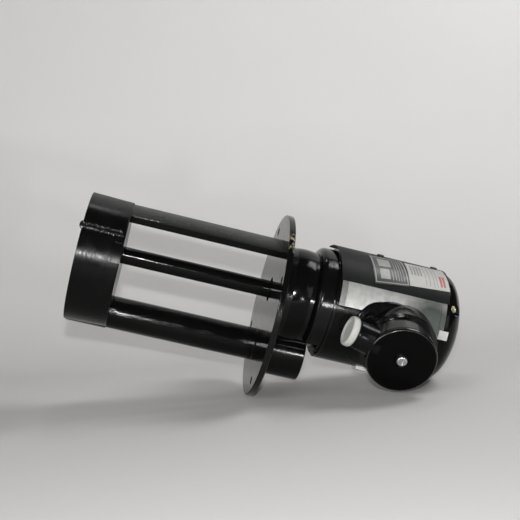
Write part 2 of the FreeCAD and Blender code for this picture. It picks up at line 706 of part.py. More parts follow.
def motor_shell():
    shell = tube(SHELL_R, SHELL_IN_R, SHELL_Z, SHELL_TOP_Z)
    shell = shell.cut(on_box(Part.makeCylinder(WIRE_HOLE_R, BOX_FLOOR_D, vec(0, WIRE_HOLE_Z, 0))))
    for x, y in box_screw_places():
        shell = shell.cut(on_box(Part.makeCylinder(BOX_SCREW_R + SEAT, BOX_FLOOR_D, vec(x, y, 0))))
    for screw in sheet_screw_rods(SHEET_SCREW_R + SEAT, SHELL_IN_R - 1, SHELL_R):
        shell = shell.cut(screw)
    return shell.removeSplitter()


def dome_point(r, h, height):
    """Point of the bell's half ellipse at a height above the joint."""
    return r * math.sqrt(1 - (height / h) ** 2), SHELL_TOP_Z + height


def dome_curve(r, h, start, end):
    """Smooth curve along the half ellipse between two heights above the joint."""
    low = math.asin(start / h)
    high = math.asin(end / h)
    turns = [low + (high - low) * k / 12 for k in range(13)]
    points = [vec(SHAFT_X + r * math.cos(t), 0, SHELL_TOP_Z + h * math.sin(t)) for t in turns]
    curve = Part.BSplineCurve()
    curve.interpolate(points)
    return curve.toShape()


def end_bell():
    crown_r, crown_z = dome_point(SHELL_R, DOME_H, CROWN * DOME_H)
    inner_r = SHELL_R - DOME_WALL
    inner_h = DOME_H - DOME_WALL
    housing_r = UPPER_BEARING_R + UPPER_HOUSING_WALL
    meet = inner_h * math.sqrt(1 - (housing_r / inner_r) ** 2)
    bore = UPPER_BEARING_R + SEAT
    foot_z = UPPER_BEARING_Z - 1
    top_z = WAVE_Z + WAVE_WASHER_T
    inside = [(0, crown_z), (0, top_z), (bore, top_z), (bore, foot_z), (housing_r, foot_z),
              (housing_r, SHELL_TOP_Z + meet)]
    skirt = [(inner_r, SHELL_TOP_Z), (SPIGOT_R - DOME_WALL, SHELL_TOP_Z), (SPIGOT_R - DOME_WALL, SPIGOT_FOOT_Z),
             (SPIGOT_R, SPIGOT_FOOT_Z), (SPIGOT_R, SHELL_TOP_Z), (SHELL_R, SHELL_TOP_Z)]
    edges = [dome_curve(SHELL_R, DOME_H, 0, CROWN * DOME_H)]
    edges += upright_edges([(crown_r, crown_z)] + inside)
    edges.append(dome_curve(inner_r, inner_h, 0, meet))
    edges += upright_edges(skirt)
    face = Part.Face(Part.Wire(Part.__sortEdges__(edges)))
    body = face.revolve(vec(SHAFT_X, 0, 0), UP, 360)
    envelope = Part.Face(Part.Wire(Part.__sortEdges__([dome_curve(SHELL_R, DOME_H, 0, CROWN * DOME_H)]
                         + upright_edges([(crown_r, crown_z), (0, crown_z), (0, SHELL_TOP_Z), (SHELL_R, SHELL_TOP_Z)]))))
    solid = envelope.revolve(vec(SHAFT_X, 0, 0), UP, 360)
    for a in TIE_ANGLES:
        lug = rod(TIE_LUG_R, SHELL_TOP_Z, SHELL_TOP_Z + DOME_H, *polar(TIE_PITCH_R, a))
        body = body.fuse(lug.common(solid))
    for a in TIE_ANGLES:
        x, y = polar(TIE_PITCH_R, a)
        body = body.cut(rod(TIE_R + SEAT, SPIGOT_FOOT_Z, TIE_SEAT_Z, x, y))
        body = body.cut(rod(TIE_POCKET_R, TIE_SEAT_Z, SHELL_TOP_Z + DOME_H, x, y))
    return body


def upright_edges(points):
    """Straight edges in the section plane through the motor's axis."""
    return Part.makePolygon([vec(SHAFT_X + r, 0, z) for r, z in points]).Edges


def wave_washer():
    return tube(UPPER_BEARING_R - 0.5, UPPER_BEARING_R - 3, WAVE_Z, WAVE_Z + WAVE_WASHER_T)


def tie_bolts():
    top = TIE_SEAT_Z + TIE_NUT_H + TIE_END
    return Part.makeCompound([rod(TIE_R, TIE_FOOT_Z, top, *polar(TIE_PITCH_R, a)) for a in TIE_ANGLES])


def tie_nuts():
    nuts = []
    for a in TIE_ANGLES:
        x, y = polar(TIE_PITCH_R, a)
        nut = hexagon(TIE_NUT_R, TIE_SEAT_Z, TIE_SEAT_Z + TIE_NUT_H, x, y)
        nuts.append(nut.cut(rod(TIE_R + SEAT, TIE_SEAT_Z, TIE_SEAT_Z + TIE_NUT_H, x, y)))
    return Part.makeCompound(nuts)


# Sheets, plates and labels on the motor

def sheet_screw_rods(r, r0, r1):
    rods = []
    for z in SHEET_SCREW_Z:
        a = math.radians(SHEET_SCREW_ANGLE)
        out = vec(math.cos(a), math.sin(a), 0)
        rods.append(Part.makeCylinder(r, r1 - r0, vec(SHAFT_X, 0, z) + out * r0, out))
    return rods


def side_plate():
    z0, z1 = SIDE_PLATE_Z
    plate = curved_sheet(SHELL_R + SEAT, SIDE_PLATE_R, z0, z1, *SIDE_PLATE_ANGLES)
    hems = [curved_sheet(SIDE_PLATE_R, HEM_R, z0, z0 + HEM_W, *SIDE_PLATE_ANGLES),
            curved_sheet(SIDE_PLATE_R, HEM_R, z1 - HEM_W, z1, *SIDE_PLATE_ANGLES)]
    corner = curved_sheet(SHELL_R + SEAT, SIDE_PLATE_R, *plate_corner())
    return fused([plate, corner] + hems)


def plate_corner():
    """Heights and angles of the side plate's long lower corner, which ends at the clip."""
    return PLATE_CORNER_Z, CLIP_Z[0] - SEAT, SIDE_PLATE_ANGLES[1] - 1, PLATE_CORNER_ANGLE


def side_plate_clip():
    return curved_sheet(SHELL_R + SEAT, SHELL_R + CLIP_T, *CLIP_Z, *CLIP_ANGLES)


def lower_tab():
    return curved_sheet(SHELL_R + SEAT, SHELL_R + TAB_T, *TAB_Z, *TAB_ANGLES)


def top_sheet():
    sheet = curved_sheet(TOP_SHEET_IN_R, TOP_SHEET_R, *TOP_SHEET_Z, *TOP_SHEET_ANGLES)
    trim = Part.makeBox(3 * TOP_SHEET_R, 4 * TOP_SHEET_R, TOP_SHEET_R, vec(-2 * TOP_SHEET_R, -2 * TOP_SHEET_R, -TOP_SHEET_R))
    trim.rotate(vec(0, 0, 0), vec(1, 0, 0), -TOP_SHEET_SLANT)
    trim.translate(vec(0, 0, TOP_SHEET_CORNER_Z))
    sheet = sheet.cut(trim)
    flange_end = TOP_SHEET_ANGLES[0] + 8
    edge = curved_sheet(SHELL_R + SEAT, TOP_SHEET_IN_R, SHELL_Z + 1, SHELL_TOP_Z, TOP_SHEET_ANGLES[0], flange_end)
    sheet = fused([sheet, edge])
    for screw in sheet_screw_rods(SHEET_SCREW_R + SEAT, SHELL_R - 1, TOP_SHEET_R):
        sheet = sheet.cut(screw)
    return sheet


def top_sheet_screws():
    shanks = sheet_screw_rods(SHEET_SCREW_R, SHELL_IN_R, TOP_SHEET_R)
    heads = sheet_screw_rods(SHEET_HEAD_R, TOP_SHEET_R, TOP_SHEET_R + SHEET_HEAD_H)
    return Part.makeCompound([s.fuse(h.makeFillet(SHEET_HEAD_H * 0.6, [h.Edges[0]])) for s, h in zip(shanks, heads)])


def curved_label(angle, z, width, height, thickness, skew):
    """Thin plate lying on the top sheet, turned by skew about its own middle."""
    slab = Part.makeBox(TOP_SHEET_R, width, height, vec(TOP_SHEET_R / 2, -width / 2, -height / 2))
    slab.rotate(vec(0, 0, 0), vec(1, 0, 0), skew)
    slab.rotate(vec(0, 0, 0), UP, angle)
    slab.translate(vec(SHAFT_X, 0, z))
    inner = TOP_SHEET_R + SEAT
    return slab.common(tube(inner + thickness, inner, z - height, z + height))


def nameplate():
    return curved_label(NAMEPLATE_ANGLE, NAMEPLATE_Z, NAMEPLATE_W, NAMEPLATE_H, NAMEPLATE_T, NAMEPLATE_SKEW)


def blank_label():
    label = curved_label(LABEL_ANGLE, LABEL_Z, LABEL_W, LABEL_H, LABEL_T, LABEL_SKEW)
    reach = wedge(TOP_SHEET_R + 1, *TOP_SHEET_Z, *TOP_SHEET_ANGLES)
    return label.common(reach)


# Terminal box, in its own axes and then placed

def box_screw_places():
    return [(BOX_SCREW_X, 0), (-BOX_SCREW_X, 0)]


def box_pedestal():
    block = Part.makeBox(PEDESTAL_W, PEDESTAL_L, BOX_COLLAR_D, vec(-PEDESTAL_W / 2, -PEDESTAL_L, 0))
    corners = [e for e in block.Edges if abs(e.tangentAt(0).z) > 0.9 and e.CenterOfMass.y < -PEDESTAL_L + 1]
    block = block.makeFillet(PEDESTAL_FILLET, corners)
    block.rotate(vec(0, 0, 0), UP, -GLAND_ANGLE)
    return block


def terminal_box_base():
    collar = Part.makeCylinder(BOX_COLLAR_R, BOX_COLLAR_D)
    wall_h = BOX_RIM_D - BOX_COLLAR_D
    wall = Part.makeCone(BOX_FOOT_R, BOX_RIM_R, wall_h, vec(0, 0, BOX_COLLAR_D))
    entry = on_gland(GLAND_R, 0, GLAND_START)
    under_rim = Part.makeCylinder(GLAND_START + 1, BOX_RIM_D)
    body = fused([collar, box_pedestal(), wall, entry.common(under_rim)])
    body = body.cut(Part.makeCylinder(BOX_CAVITY_R, BOX_RIM_D, vec(0, 0, BOX_FLOOR_D)))
    body = body.fuse(Part.makeCylinder(PILLAR_R, PILLAR_TOP_D - BOX_FLOOR_D, vec(0, 0, BOX_FLOOR_D)))
    shank_d = COVER_FRONT_D - SPOT_DEPTH - COVER_BOLT_LENGTH
    body = body.cut(Part.makeCylinder(COVER_BOLT_R + SEAT, COVER_FRONT_D, vec(0, 0, shank_d)))
    body = body.cut(on_gland(GLAND_THREAD_R + SEAT, BOX_CAVITY_R - 4, GLAND_START))
    body = body.cut(Part.makeCylinder(WIRE_HOLE_R, BOX_FLOOR_D, vec(0, WIRE_HOLE_Z, 0)))
    for x, y in box_screw_places():
        body = body.cut(Part.makeCylinder(BOX_SCREW_R + SEAT, BOX_FLOOR_D, vec(x, y, 0)))
    earth_hole = Part.makeCylinder(TERMINAL_SCREW_R + SEAT, TERMINAL_HOLE_DEPTH)
    earth_hole.translate(vec(EARTH_X, EARTH_Y, BOX_FLOOR_D - TERMINAL_HOLE_DEPTH))
    body = body.cut(earth_hole)
    body = body.cut(on_gland(GLAND_R + SEAT, GLAND_START, PEDESTAL_L + 1))
    saddle = rod(SHELL_R + SEAT, 0, SHELL_TOP_Z + DOME_H)
    plate_seat = wedge(SIDE_PLATE_R + SEAT, *SIDE_PLATE_Z, SIDE_PLATE_ANGLES[0], SIDE_PLATE_ANGLES[1] + 0.2)
    z0, z1, a0, a1 = plate_corner()
    corner_seat = wedge(SIDE_PLATE_R + SEAT, z0 - SEAT, z1 + SEAT, a0, a1 + 0.2)
    return on_box(body).cut(saddle).cut(plate_seat).cut(corner_seat).removeSplitter()


def terminal_box_screws():
    screws = []
    for x, y in box_screw_places():
        inner_wall = math.sqrt(SHELL_IN_R ** 2 - (abs(x) - BOX_SCREW_R) ** 2)
        shank = Part.makeCylinder(BOX_SCREW_R, BOX_FLOOR_D - inner_wall, vec(x, y, inner_wall))
        head = Part.makeCylinder(BOX_HEAD_R, BOX_HEAD_H, vec(x, y, BOX_FLOOR_D))
        screws.append(on_box(shank.fuse(head)))
    return Part.makeCompound(screws)


def terminal_box_gasket():
    ring = Part.makeCylinder(BOX_RIM_R, GASKET_T, vec(0, 0, BOX_RIM_D))
    return on_box(ring.cut(Part.makeCylinder(BOX_CAVITY_R, GASKET_T, vec(0, 0, BOX_RIM_D))))


def terminal_box_cover():
    disc = Part.makeCylinder(BOX_COVER_R, BOX_COVER_T, vec(0, 0, COVER_BACK_D))
    disc = disc.makeFillet(1.2, [e for e in disc.Edges if e.CenterOfMass.z > COVER_FRONT_D - 0.1])
    disc = disc.cut(Part.makeCylinder(BOX_CAVITY_R, PILLAR_TOP_D - COVER_BACK_D, vec(0, 0, COVER_BACK_D)))
    disc = disc.cut(Part.makeCylinder(SPOT_R, SPOT_DEPTH, vec(0, 0, COVER_FRONT_D - SPOT_DEPTH)))
    disc = disc.cut(Part.makeCylinder(COVER_BOLT_R + 0.3, BOX_COVER_T, vec(0, 0, COVER_BACK_D)))
    return on_box(disc)


def terminal_cover_screw():
    seat_d = COVER_FRONT_D - SPOT_DEPTH
    head = Part.makeCylinder(COVER_BOLT_HEAD_R, COVER_BOLT_HEAD_H, vec(0, 0, seat_d))
    top = [e for e in head.Edges if e.CenterOfMass.z > seat_d + COVER_BOLT_HEAD_H - 0.1 and e.Closed]
    head = head.makeFillet(COVER_BOLT_HEAD_H * 0.5, top)
    shank = Part.makeCylinder(COVER_BOLT_R, COVER_BOLT_LENGTH - 1, vec(0, 0, seat_d - COVER_BOLT_LENGTH + 1))
    body = head.fuse(shank)
    for turn in (0, 90):
        slot = Part.makeBox(COVER_BOLT_HEAD_R * 1.1, 1, 1.6, vec(-COVER_BOLT_HEAD_R * 0.55, -0.5, 0))
        slot.rotate(vec(0, 0, 0), UP, turn + 20)
        slot.translate(vec(0, 0, seat_d + COVER_BOLT_HEAD_H - 1.5))
        body = body.cut(slot)
    return on_box(body)


def terminal_places():
    first = -TERMINAL_PITCH * (TERMINALS - 1) / 2
    return [(first + k * TERMINAL_PITCH, BLOCK_OFFSET) for k in range(TERMINALS)]


def terminal_block():
    block = Part.makeBox(BLOCK_X, BLOCK_Y, BLOCK_H, vec(-BLOCK_X / 2, BLOCK_OFFSET - BLOCK_Y / 2, BOX_FLOOR_D))
    block = block.common(Part.makeCylinder(BOX_CAVITY_R - SEAT, BOX_RIM_D, vec(0, 0, 0)))
    for x, y in terminal_places():
        for side in (-1, 1):
            wall_x = x + side * TERMINAL_PITCH / 2
            wall = Part.makeBox(1, BLOCK_Y, 2, vec(wall_x - 0.5, y - BLOCK_Y / 2, BOX_FLOOR_D + BLOCK_H))
            block = block.fuse(wall.common(Part.makeCylinder(BOX_CAVITY_R - SEAT, BOX_RIM_D)))
        hole = Part.makeCylinder(TERMINAL_SCREW_R + SEAT, TERMINAL_HOLE_DEPTH)
        hole.translate(vec(x, y, BOX_FLOOR_D + BLOCK_H - TERMINAL_HOLE_DEPTH))
        block = block.cut(hole)
    return on_box(block.removeSplitter())


def cheese_screw(x, y, d):
    head = Part.makeCylinder(TERMINAL_HEAD_R, TERMINAL_HEAD_H, vec(x, y, d))
    shank = Part.makeCylinder(TERMINAL_SCREW_R, TERMINAL_SCREW_LENGTH, vec(x, y, d - TERMINAL_SCREW_LENGTH))
    slot = Part.makeBox(2 * TERMINAL_HEAD_R, TERMINAL_SLOT, TERMINAL_SLOT)
    slot.translate(vec(x - TERMINAL_HEAD_R, y - TERMINAL_SLOT / 2, d + TERMINAL_HEAD_H - TERMINAL_SLOT))
    return on_box(head.fuse(shank).cut(slot))


def terminal_screws():
    return Part.makeCompound([cheese_screw(x, y, BOX_FLOOR_D + BLOCK_H) for x, y in terminal_places()])


def earth_screw():
    return cheese_screw(EARTH_X, EARTH_Y, BOX_FLOOR_D)


def lead_path(points):
    """Wire from straight runs, rounded at each inner point."""
    edges = []
    start = points[0]
    for before, corner, after in zip(points, points[1:], points[2:]):
        reach = 0.4 * min((corner - before).Length, (after - corner).Length)
        a = corner - (corner - before).normalize() * reach
        b = corner + (after - corner).normalize() * reach
        turn = (corner - before).getAngle(after - corner)
        bulge = (a + b) * 0.5
        toward = (corner - bulge).normalize()
        radius = reach / math.tan(turn / 2)
        sag = radius * (1 - math.cos(turn / 2))
        edges.append(Part.LineSegment(start, a).toShape())
        edges.append(Part.Arc(a, bulge + toward * sag, b).toShape())
        start = b
    edges.append(Part.LineSegment(start, points[-1]).toShape())
    return Part.Wire(edges)


def lead_wires():
    level = BOX_FLOOR_D + 3.0
    block_y = BLOCK_OFFSET + BLOCK_Y / 2 + WIRE_GAP
    hole_d = WINDING_OUT_R + WIRE_GAP
    bends = {0: [(-4.0, 12.0), (-9.0, 4.0)], 1: [(4.0, 8.0), (6.3, -1.0)], 2: [(9.0, 11.0), (12.0, 2.0)]}
    wires = []
    for k, (x, _) in enumerate(terminal_places()):
        start_x = (k - 1) * 3.0
        points = [vec(start_x, WIRE_HOLE_Z, hole_d), vec(start_x, WIRE_HOLE_Z, level)]
        points += [vec(bx, by, level) for bx, by in bends[k]]
        points.append(vec(x, block_y, level))
        path = lead_path(points)
        section = Part.Wire(Part.makeCircle(WIRE_R, points[0], UP))
        wires.append(on_box(path.makePipeShell([section], True, False)))
    return Part.makeCompound(wires)


def gland_body():
    tube_ = on_gland(GLAND_R, GLAND_START, GLAND_END).fuse(on_gland(GLAND_THREAD_R, BOX_CAVITY_R - 2, GLAND_START))
    return on_box(tube_.cut(on_gland(GLAND_BORE_R, BOX_CAVITY_R - 3, GLAND_END)).removeSplitter())


def gland_seal():
    ring = on_gland(GLAND_R, GLAND_END, PLUG_START)
    return on_box(ring.cut(on_gland(GLAND_BORE_R - 0.5 + SEAT, GLAND_END, PLUG_START)))


def gland_plug():
    disc = on_gland(PLUG_R, PLUG_START, PLUG_START + PLUG_T)
    disc = disc.makeFillet(1.6, [e for e in disc.Edges if e.Closed])
    disc = disc.cut(on_gland(PLUG_DISH_R, PLUG_START + PLUG_T - PLUG_DISH, PLUG_START + PLUG_T))
    stem = on_gland(GLAND_BORE_R - 0.5, PLUG_START - PLUG_STEM, PLUG_START + 1)
    return on_box(disc.fuse(stem).removeSplitter())


def node_shapes():
    low_mid = BEARING_Z + LOWER_BEARING_W / 2
    up_mid = UPPER_BEARING_Z + UPPER_BEARING_W / 2
    low_ball = (LOWER_BALL_R, LOWER_PITCH_R)
    up_ball = (UPPER_BALL_R, UPPER_PITCH_R)
    return {
        "suction_casing": suction_casing(),
        "suction_cover": suction_cover(),
        "suction_cover_screws": suction_cover_screws(),
        "throttle_bush": throttle_bush(),
        "riser_pipe": riser_pipe(),
        "support_leg": support_leg(),
        "impeller": impeller(),
        "impeller_key": impeller_key(),
        "impeller_washer": impeller_washer(),
        "impeller_nut": impeller_nut(),
        "pump_shaft": shaft(),
        "splash_ring": splash_ring(),
        "shaft_seal": shaft_seal(),
        "bearing_circlip": bearing_circlip(),
        "lower_bearing_inner_race": inner_race(SEAL_SEAT_R, LOWER_BEARING_W, *low_ball, BEARING_Z),
        "lower_bearing_outer_race": outer_race(LOWER_BEARING_R, LOWER_BEARING_W, *low_ball, BEARING_Z),
        "lower_bearing_balls": Part.makeCompound(balls(*low_ball, LOWER_BALLS, low_mid)),
        "lower_bearing_cage": cage(*low_ball, LOWER_BALLS, low_mid),
        "upper_bearing_inner_race": inner_race(UPPER_SEAT_R, UPPER_BEARING_W, *up_ball, UPPER_BEARING_Z),
        "upper_bearing_outer_race": outer_race(UPPER_BEARING_R, UPPER_BEARING_W, *up_ball, UPPER_BEARING_Z),
        "upper_bearing_balls": Part.makeCompound(balls(*up_ball, UPPER_BALLS, up_mid)),
        "upper_bearing_cage": cage(*up_ball, UPPER_BALLS, up_mid),
        "bearing_retainer": bearing_retainer(),
        "bearing_retainer_screws": retainer_screws(),
        "flange_casting": flange_casting(),
        "stator_core": stator_core(),
        "stator_windings": stator_windings(),
        "rotor_core": rotor_core(),
        "rotor_end_rings": rotor_end_rings(),
        "motor_shell": motor_shell(),
        "end_bell": end_bell(),
        "wave_washer": wave_washer(),
        "tie_bolts": tie_bolts(),
        "tie_bolt_nuts": tie_nuts(),
        "side_plate": side_plate(),
        "side_plate_clip": side_plate_clip(),
        "lower_tab": lower_tab(),
        "top_sheet": top_sheet(),
        "top_sheet_screws": top_sheet_screws(),
        "nameplate": nameplate(),
        "blank_label": blank_label(),
        "terminal_box_base": terminal_box_base(),
        "terminal_box_screws": terminal_box_screws(),
        "terminal_box_gasket": terminal_box_gasket(),
        "terminal_box_cover": terminal_box_cover(),
        "terminal_cover_screw": terminal_cover_screw(),
        "terminal_block": terminal_block(),
        "terminal_screws": terminal_screws(),
        "earth_screw": earth_screw(),
        "lead_wires": lead_wires(),
        "gland_body": gland_body(),
        "gland_seal": gland_seal(),
        "gland_plug": gland_plug(),
    }


def main():
    os.makedirs("parts", exist_ok=True)
    for name, shape in node_shapes().items():
        shape.exportStep(os.path.join("parts", name + ".step"))
        box = shape.BoundBox
        print(f"{name:28s} solids {len(shape.Solids):2d} valid {shape.isValid()} volume {shape.Volume:10.1f}",
              f"x {box.XMin:7.1f} {box.XMax:7.1f} y {box.YMin:7.1f} {box.YMax:7.1f} z {box.ZMin:7.1f} {box.ZMax:7.1f}")


main()
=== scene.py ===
"""Finishes the immersion coolant pump: paints its parts, adds the finer pieces and sets the studio.

Lengths are in metres, and directions are those of the pump: +Z along its shaft towards the motor,
-Y towards the terminal box and +X towards the discharge port.
"""

import json
import math

import bmesh
import bpy
import numpy as np
from mathutils import Matrix, Vector


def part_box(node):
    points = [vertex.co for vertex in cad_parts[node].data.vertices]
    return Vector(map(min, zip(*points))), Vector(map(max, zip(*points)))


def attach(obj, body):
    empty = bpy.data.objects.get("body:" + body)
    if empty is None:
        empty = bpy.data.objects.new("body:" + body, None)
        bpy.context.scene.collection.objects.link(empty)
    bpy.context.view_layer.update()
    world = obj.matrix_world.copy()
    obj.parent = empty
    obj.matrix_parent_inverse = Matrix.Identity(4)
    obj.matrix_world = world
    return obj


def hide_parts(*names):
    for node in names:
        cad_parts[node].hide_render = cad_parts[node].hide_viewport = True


bl_info = {
    "name": "Immersion coolant pump",
    "version": (1, 0, 0),
    "blender": (4, 5, 0),
    "location": "View3D > Sidebar > Pump",
    "description": "Paints, plates and studio for a flange-mounted immersion pump",
    "category": "Object",
}

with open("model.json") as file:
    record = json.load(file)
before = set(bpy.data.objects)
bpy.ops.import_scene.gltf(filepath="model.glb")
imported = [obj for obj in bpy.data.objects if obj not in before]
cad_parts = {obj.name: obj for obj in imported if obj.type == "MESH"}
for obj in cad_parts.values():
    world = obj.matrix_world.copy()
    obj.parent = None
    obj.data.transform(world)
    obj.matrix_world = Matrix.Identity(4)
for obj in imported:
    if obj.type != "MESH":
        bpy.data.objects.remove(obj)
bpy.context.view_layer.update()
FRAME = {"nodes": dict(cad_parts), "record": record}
NODES = FRAME["nodes"]
BODY = "pump_frame"
MM = 0.001
CREASE = math.radians(40)


def cad_radius(node, centre_x):
    """Largest radius of a CAD node about the upright line at centre_x."""
    points = np.array([v.co for v in NODES[node].data.vertices])
    return float(np.hypot(points[:, 0] - centre_x, points[:, 1]).max())


SHAFT_X = float(sum(c.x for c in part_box("motor_shell")) / 2)
CASING_X = -5.2 * MM
SHELL_R = float((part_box("motor_shell")[1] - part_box("motor_shell")[0]).y / 2)
SHEET_R = cad_radius("top_sheet", SHAFT_X)
CASING_LOW_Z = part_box("suction_casing")[0].z
CASING_TOP_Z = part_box("suction_casing")[1].z
CASING_R = 51.5 * MM
CASING_RIM_R = 50.5 * MM
FLANGE_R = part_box("flange_casting")[1].x
FLANGE_TOP_Z = 5.0 * MM
BOSS_R = 21.8 * MM
NECK_R = 37.75 * MM
BOX_Z = float(sum(c.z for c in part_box("terminal_box_cover")) / 2)
ENTRY_TILT = math.radians(12.0)


# Meshes from arrays


def mesh_object(name, points, faces, material, slot=None, body=BODY):
    """Puts points and faces into a mesh with one finish, and hangs it on a body."""
    mesh = bpy.data.meshes.new(name)
    mesh.from_pydata(np.asarray(points, float).reshape(-1, 3).tolist(), [], np.asarray(faces).tolist())
    mesh.validate()
    mesh.shade_smooth()
    mesh.set_sharp_from_angle(angle=CREASE)
    mesh.materials.append(material)
    obj = bpy.data.objects.new(name, mesh)
    bpy.context.scene.collection.objects.link(obj)
    if body:
        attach(obj, body)
    return obj


def grid_faces(rows, columns, wrap_rows=False, wrap_columns=False, start=0):
    """Quads between neighbouring points of a grid, as rows of four point numbers."""
    index = start + np.arange(rows * columns).reshape(rows, columns)
    if wrap_rows:
        index = np.vstack([index, index[:1]])
    if wrap_columns:
        index = np.hstack([index, index[:, :1]])
    corners = index[:-1, :-1], index[1:, :-1], index[1:, 1:], index[:-1, 1:]
    return np.stack([c.ravel() for c in corners], axis=1)


def turned_points(profile, steps=96):
    """Profile of radius and height carried round an upright axis: x = r cos a, y = r sin a, z = h."""
    profile = np.asarray(profile, float)
    angle = np.linspace(0, 2 * np.pi, steps, endpoint=False)
    r = profile[:, 0][:, None]
    h = np.broadcast_to(profile[:, 1][:, None], (len(profile), steps))
    return np.stack([r * np.cos(angle), r * np.sin(angle), h], axis=-1)


def slab(top, bottom):
    """Closed plate between two grids of the same shape: both faces and the strip round their edge."""
    rows, columns = top.shape[:2]
    count = rows * columns
    points = np.concatenate([top.reshape(-1, 3), bottom.reshape(-1, 3)])
    upper = grid_faces(rows, columns)
    lower = grid_faces(rows, columns, start=count)[:, ::-1]
    index = np.arange(count).reshape(rows, columns)
    ring = np.concatenate([index[:-1, 0], index[-1, :-1], index[:0:-1, -1], index[0, :0:-1]])
    after = np.roll(ring, -1)
    side = np.stack([ring, ring + count, after + count, after], axis=1)
    return points, np.concatenate([upper, lower, side])


def joined(parts):
    """Several point and face arrays as one."""
    points, faces, start = [], [], 0
    for p, f in parts:
        p = np.asarray(p, float).reshape(-1, 3)
        points.append(p)
        faces.append(np.asarray(f) + start)
        start += len(p)
    return np.concatenate(points), np.concatenate(faces)


def outward(points, faces):
    """Faces of a closed shape, turned round if its volume comes out negative."""
    p = np.asarray(points, float).reshape(-1, 3)
    a, b, c, d = (p[faces[:, k]] for k in range(4))
    volume = sum(np.einsum("ij,ij->", a, np.cross(*pair)) for pair in ((b, c), (c, d)))
    return faces[:, ::-1] if volume < 0 else faces


def on_axis(points, origin, along):
    """Carries points from an upright axis at the origin to an axis through origin along a direction."""
    turn = Vector((0, 0, 1)).rotation_difference(Vector(along).normalized()).to_matrix()
    return np.asarray(points).reshape(-1, 3) @ np.array(turn).T + np.array(origin)


def turned_object(name, profile, origin, along, material, steps=96, **more):
    """Closed turned piece whose profile starts and ends on its axis."""
    grid = turned_points(profile, steps)
    faces = grid_faces(len(profile), steps, wrap_columns=True)
    faces = outward(grid, faces)
    points = on_axis(grid, origin, along)
    obj = mesh_object(name, points, faces, material, **more)
    close_poles(obj)
    return obj


def close_poles(obj):
    """Merges the points that meet on an axis or a seam."""
    work = bmesh.new()
    work.from_mesh(obj.data)
    bmesh.ops.remove_doubles(work, verts=work.verts, dist=1e-7)
    work.to_mesh(obj.data)
    work.free()
    obj.data.shade_smooth()
    obj.data.set_sharp_from_angle(angle=CREASE)


def rounded(points, radius, steps=5):
    """Outline whose inner corners are rounded by short curves: quadratic, from one side to the next."""
    points = [np.array(p, float) for p in points]
    out = [points[0]]
    for before, corner, after in zip(points, points[1:], points[2:]):
        reach = min(radius, 0.45 * np.linalg.norm(corner - before), 0.45 * np.linalg.norm(after - corner))
        start = corner + (before - corner) / np.linalg.norm(before - corner) * reach
        end = corner + (after - corner) / np.linalg.norm(after - corner) * reach
        t = np.linspace(0, 1, steps)[:, None]
        out += list((1 - t) ** 2 * start + 2 * t * (1 - t) * corner + t ** 2 * end)
    out.append(points[-1])
    return np.array(out)


# Materials


def node(tree, kind, settings=None, **inputs):
    """Adds a node; i0 and the like mean an input by number, a socket is linked and other values are set."""
    made = tree.nodes.new(kind)
    for key, value in (settings or {}).items():
        setattr(made, key, value)
    for key, value in inputs.items():
        numbered = key[0] == "i" and key[1:].isdigit()
        socket = made.inputs[int(key[1:]) if numbered else key.replace("_", " ")]
        if isinstance(value, bpy.types.NodeSocket):
            tree.links.new(value, socket)
        else:
            socket.default_value = value
    return made


def blank_material(name):
    """New material with its shader and the place of each point on the object."""
    material = bpy.data.materials.new(name)
    material.use_nodes = True
    tree = material.node_tree
    shader = tree.nodes["Principled BSDF"]
    where = tree.nodes.new("ShaderNodeTexCoord").outputs["Object"]
    return material, tree, shader, where


def noise(tree, where, scale, detail=3.0, roughness=0.5):
    """Cloudy pattern between 0 and 1."""
    made = node(tree, "ShaderNodeTexNoise", Vector=where, Scale=scale, Detail=detail, Roughness=roughness)
    return made.outputs["Fac"]


def mapped(tree, value, low, high, out_low, out_high, blend="LINEAR"):
    """Value carried from one range to another and held at its ends."""
    made = node(tree, "ShaderNodeMapRange", {"interpolation_type": blend}, Value=value)
    for key, number in zip(("From Min", "From Max", "To Min", "To Max"), (low, high, out_low, out_high)):
        made.inputs[key].default_value = number
    return made.outputs["Result"]


def sums(tree, operation, a, b=0.0, c=0.0):
    """One sum of up to three values."""
    return node(tree, "ShaderNodeMath", {"operation": operation}, i0=a, i1=b, i2=c).outputs[0]


def mixed(tree, share, first, second):
    """Colour between two others: the first where the share is 0 and the second where it is 1."""
    made = tree.nodes.new("ShaderNodeMix")
    made.data_type = "RGBA"
    sockets = [s for s in made.inputs if s.enabled]
    for socket, value in zip(sockets, (share, first, second)):
        if isinstance(value, bpy.types.NodeSocket):
            tree.links.new(value, socket)
        else:
            socket.default_value = value
    return [s for s in made.outputs if s.enabled][0]


def bumped(tree, shader, height, strength, distance):
    """Fine relief on the shader."""
    made = node(tree, "ShaderNodeBump", Height=height, Strength=strength, Distance=distance)
    tree.links.new(made.outputs["Normal"], shader.inputs["Normal"])


def radius_about(tree, x, y):
    """Distance from an upright line: the root of x squared plus y squared."""
    return sums(tree, "SQRT", sums(tree, "MULTIPLY_ADD", y, y, sums(tree, "MULTIPLY", x, x)))


def shade(colour, factor):
    """Colour made lighter or darker."""
    return tuple(min(1.0, c * factor) for c in colour[:3]) + (1.0,)


# Greenish grey of dust and painted sheen: the upper side is painted lighter where the overhead light falls.
DUST_AND_SHEEN_COLOUR = (0.052, 0.056, 0.052, 1.0)
BARE_METAL = (0.26, 0.225, 0.12, 1.0)
# Dark patch on the galvanised plate: partly stain, partly painted dark reflection.
STAIN_AND_REFLECTION_COLOUR = (0.040, 0.050, 0.044, 1.0)
PAPER_GRAIN = (0.5, 0.48, 0.46, 1.0)
# The wave texture has one line in 0.314 of its unit.
WAVE_SCALE = 0.314


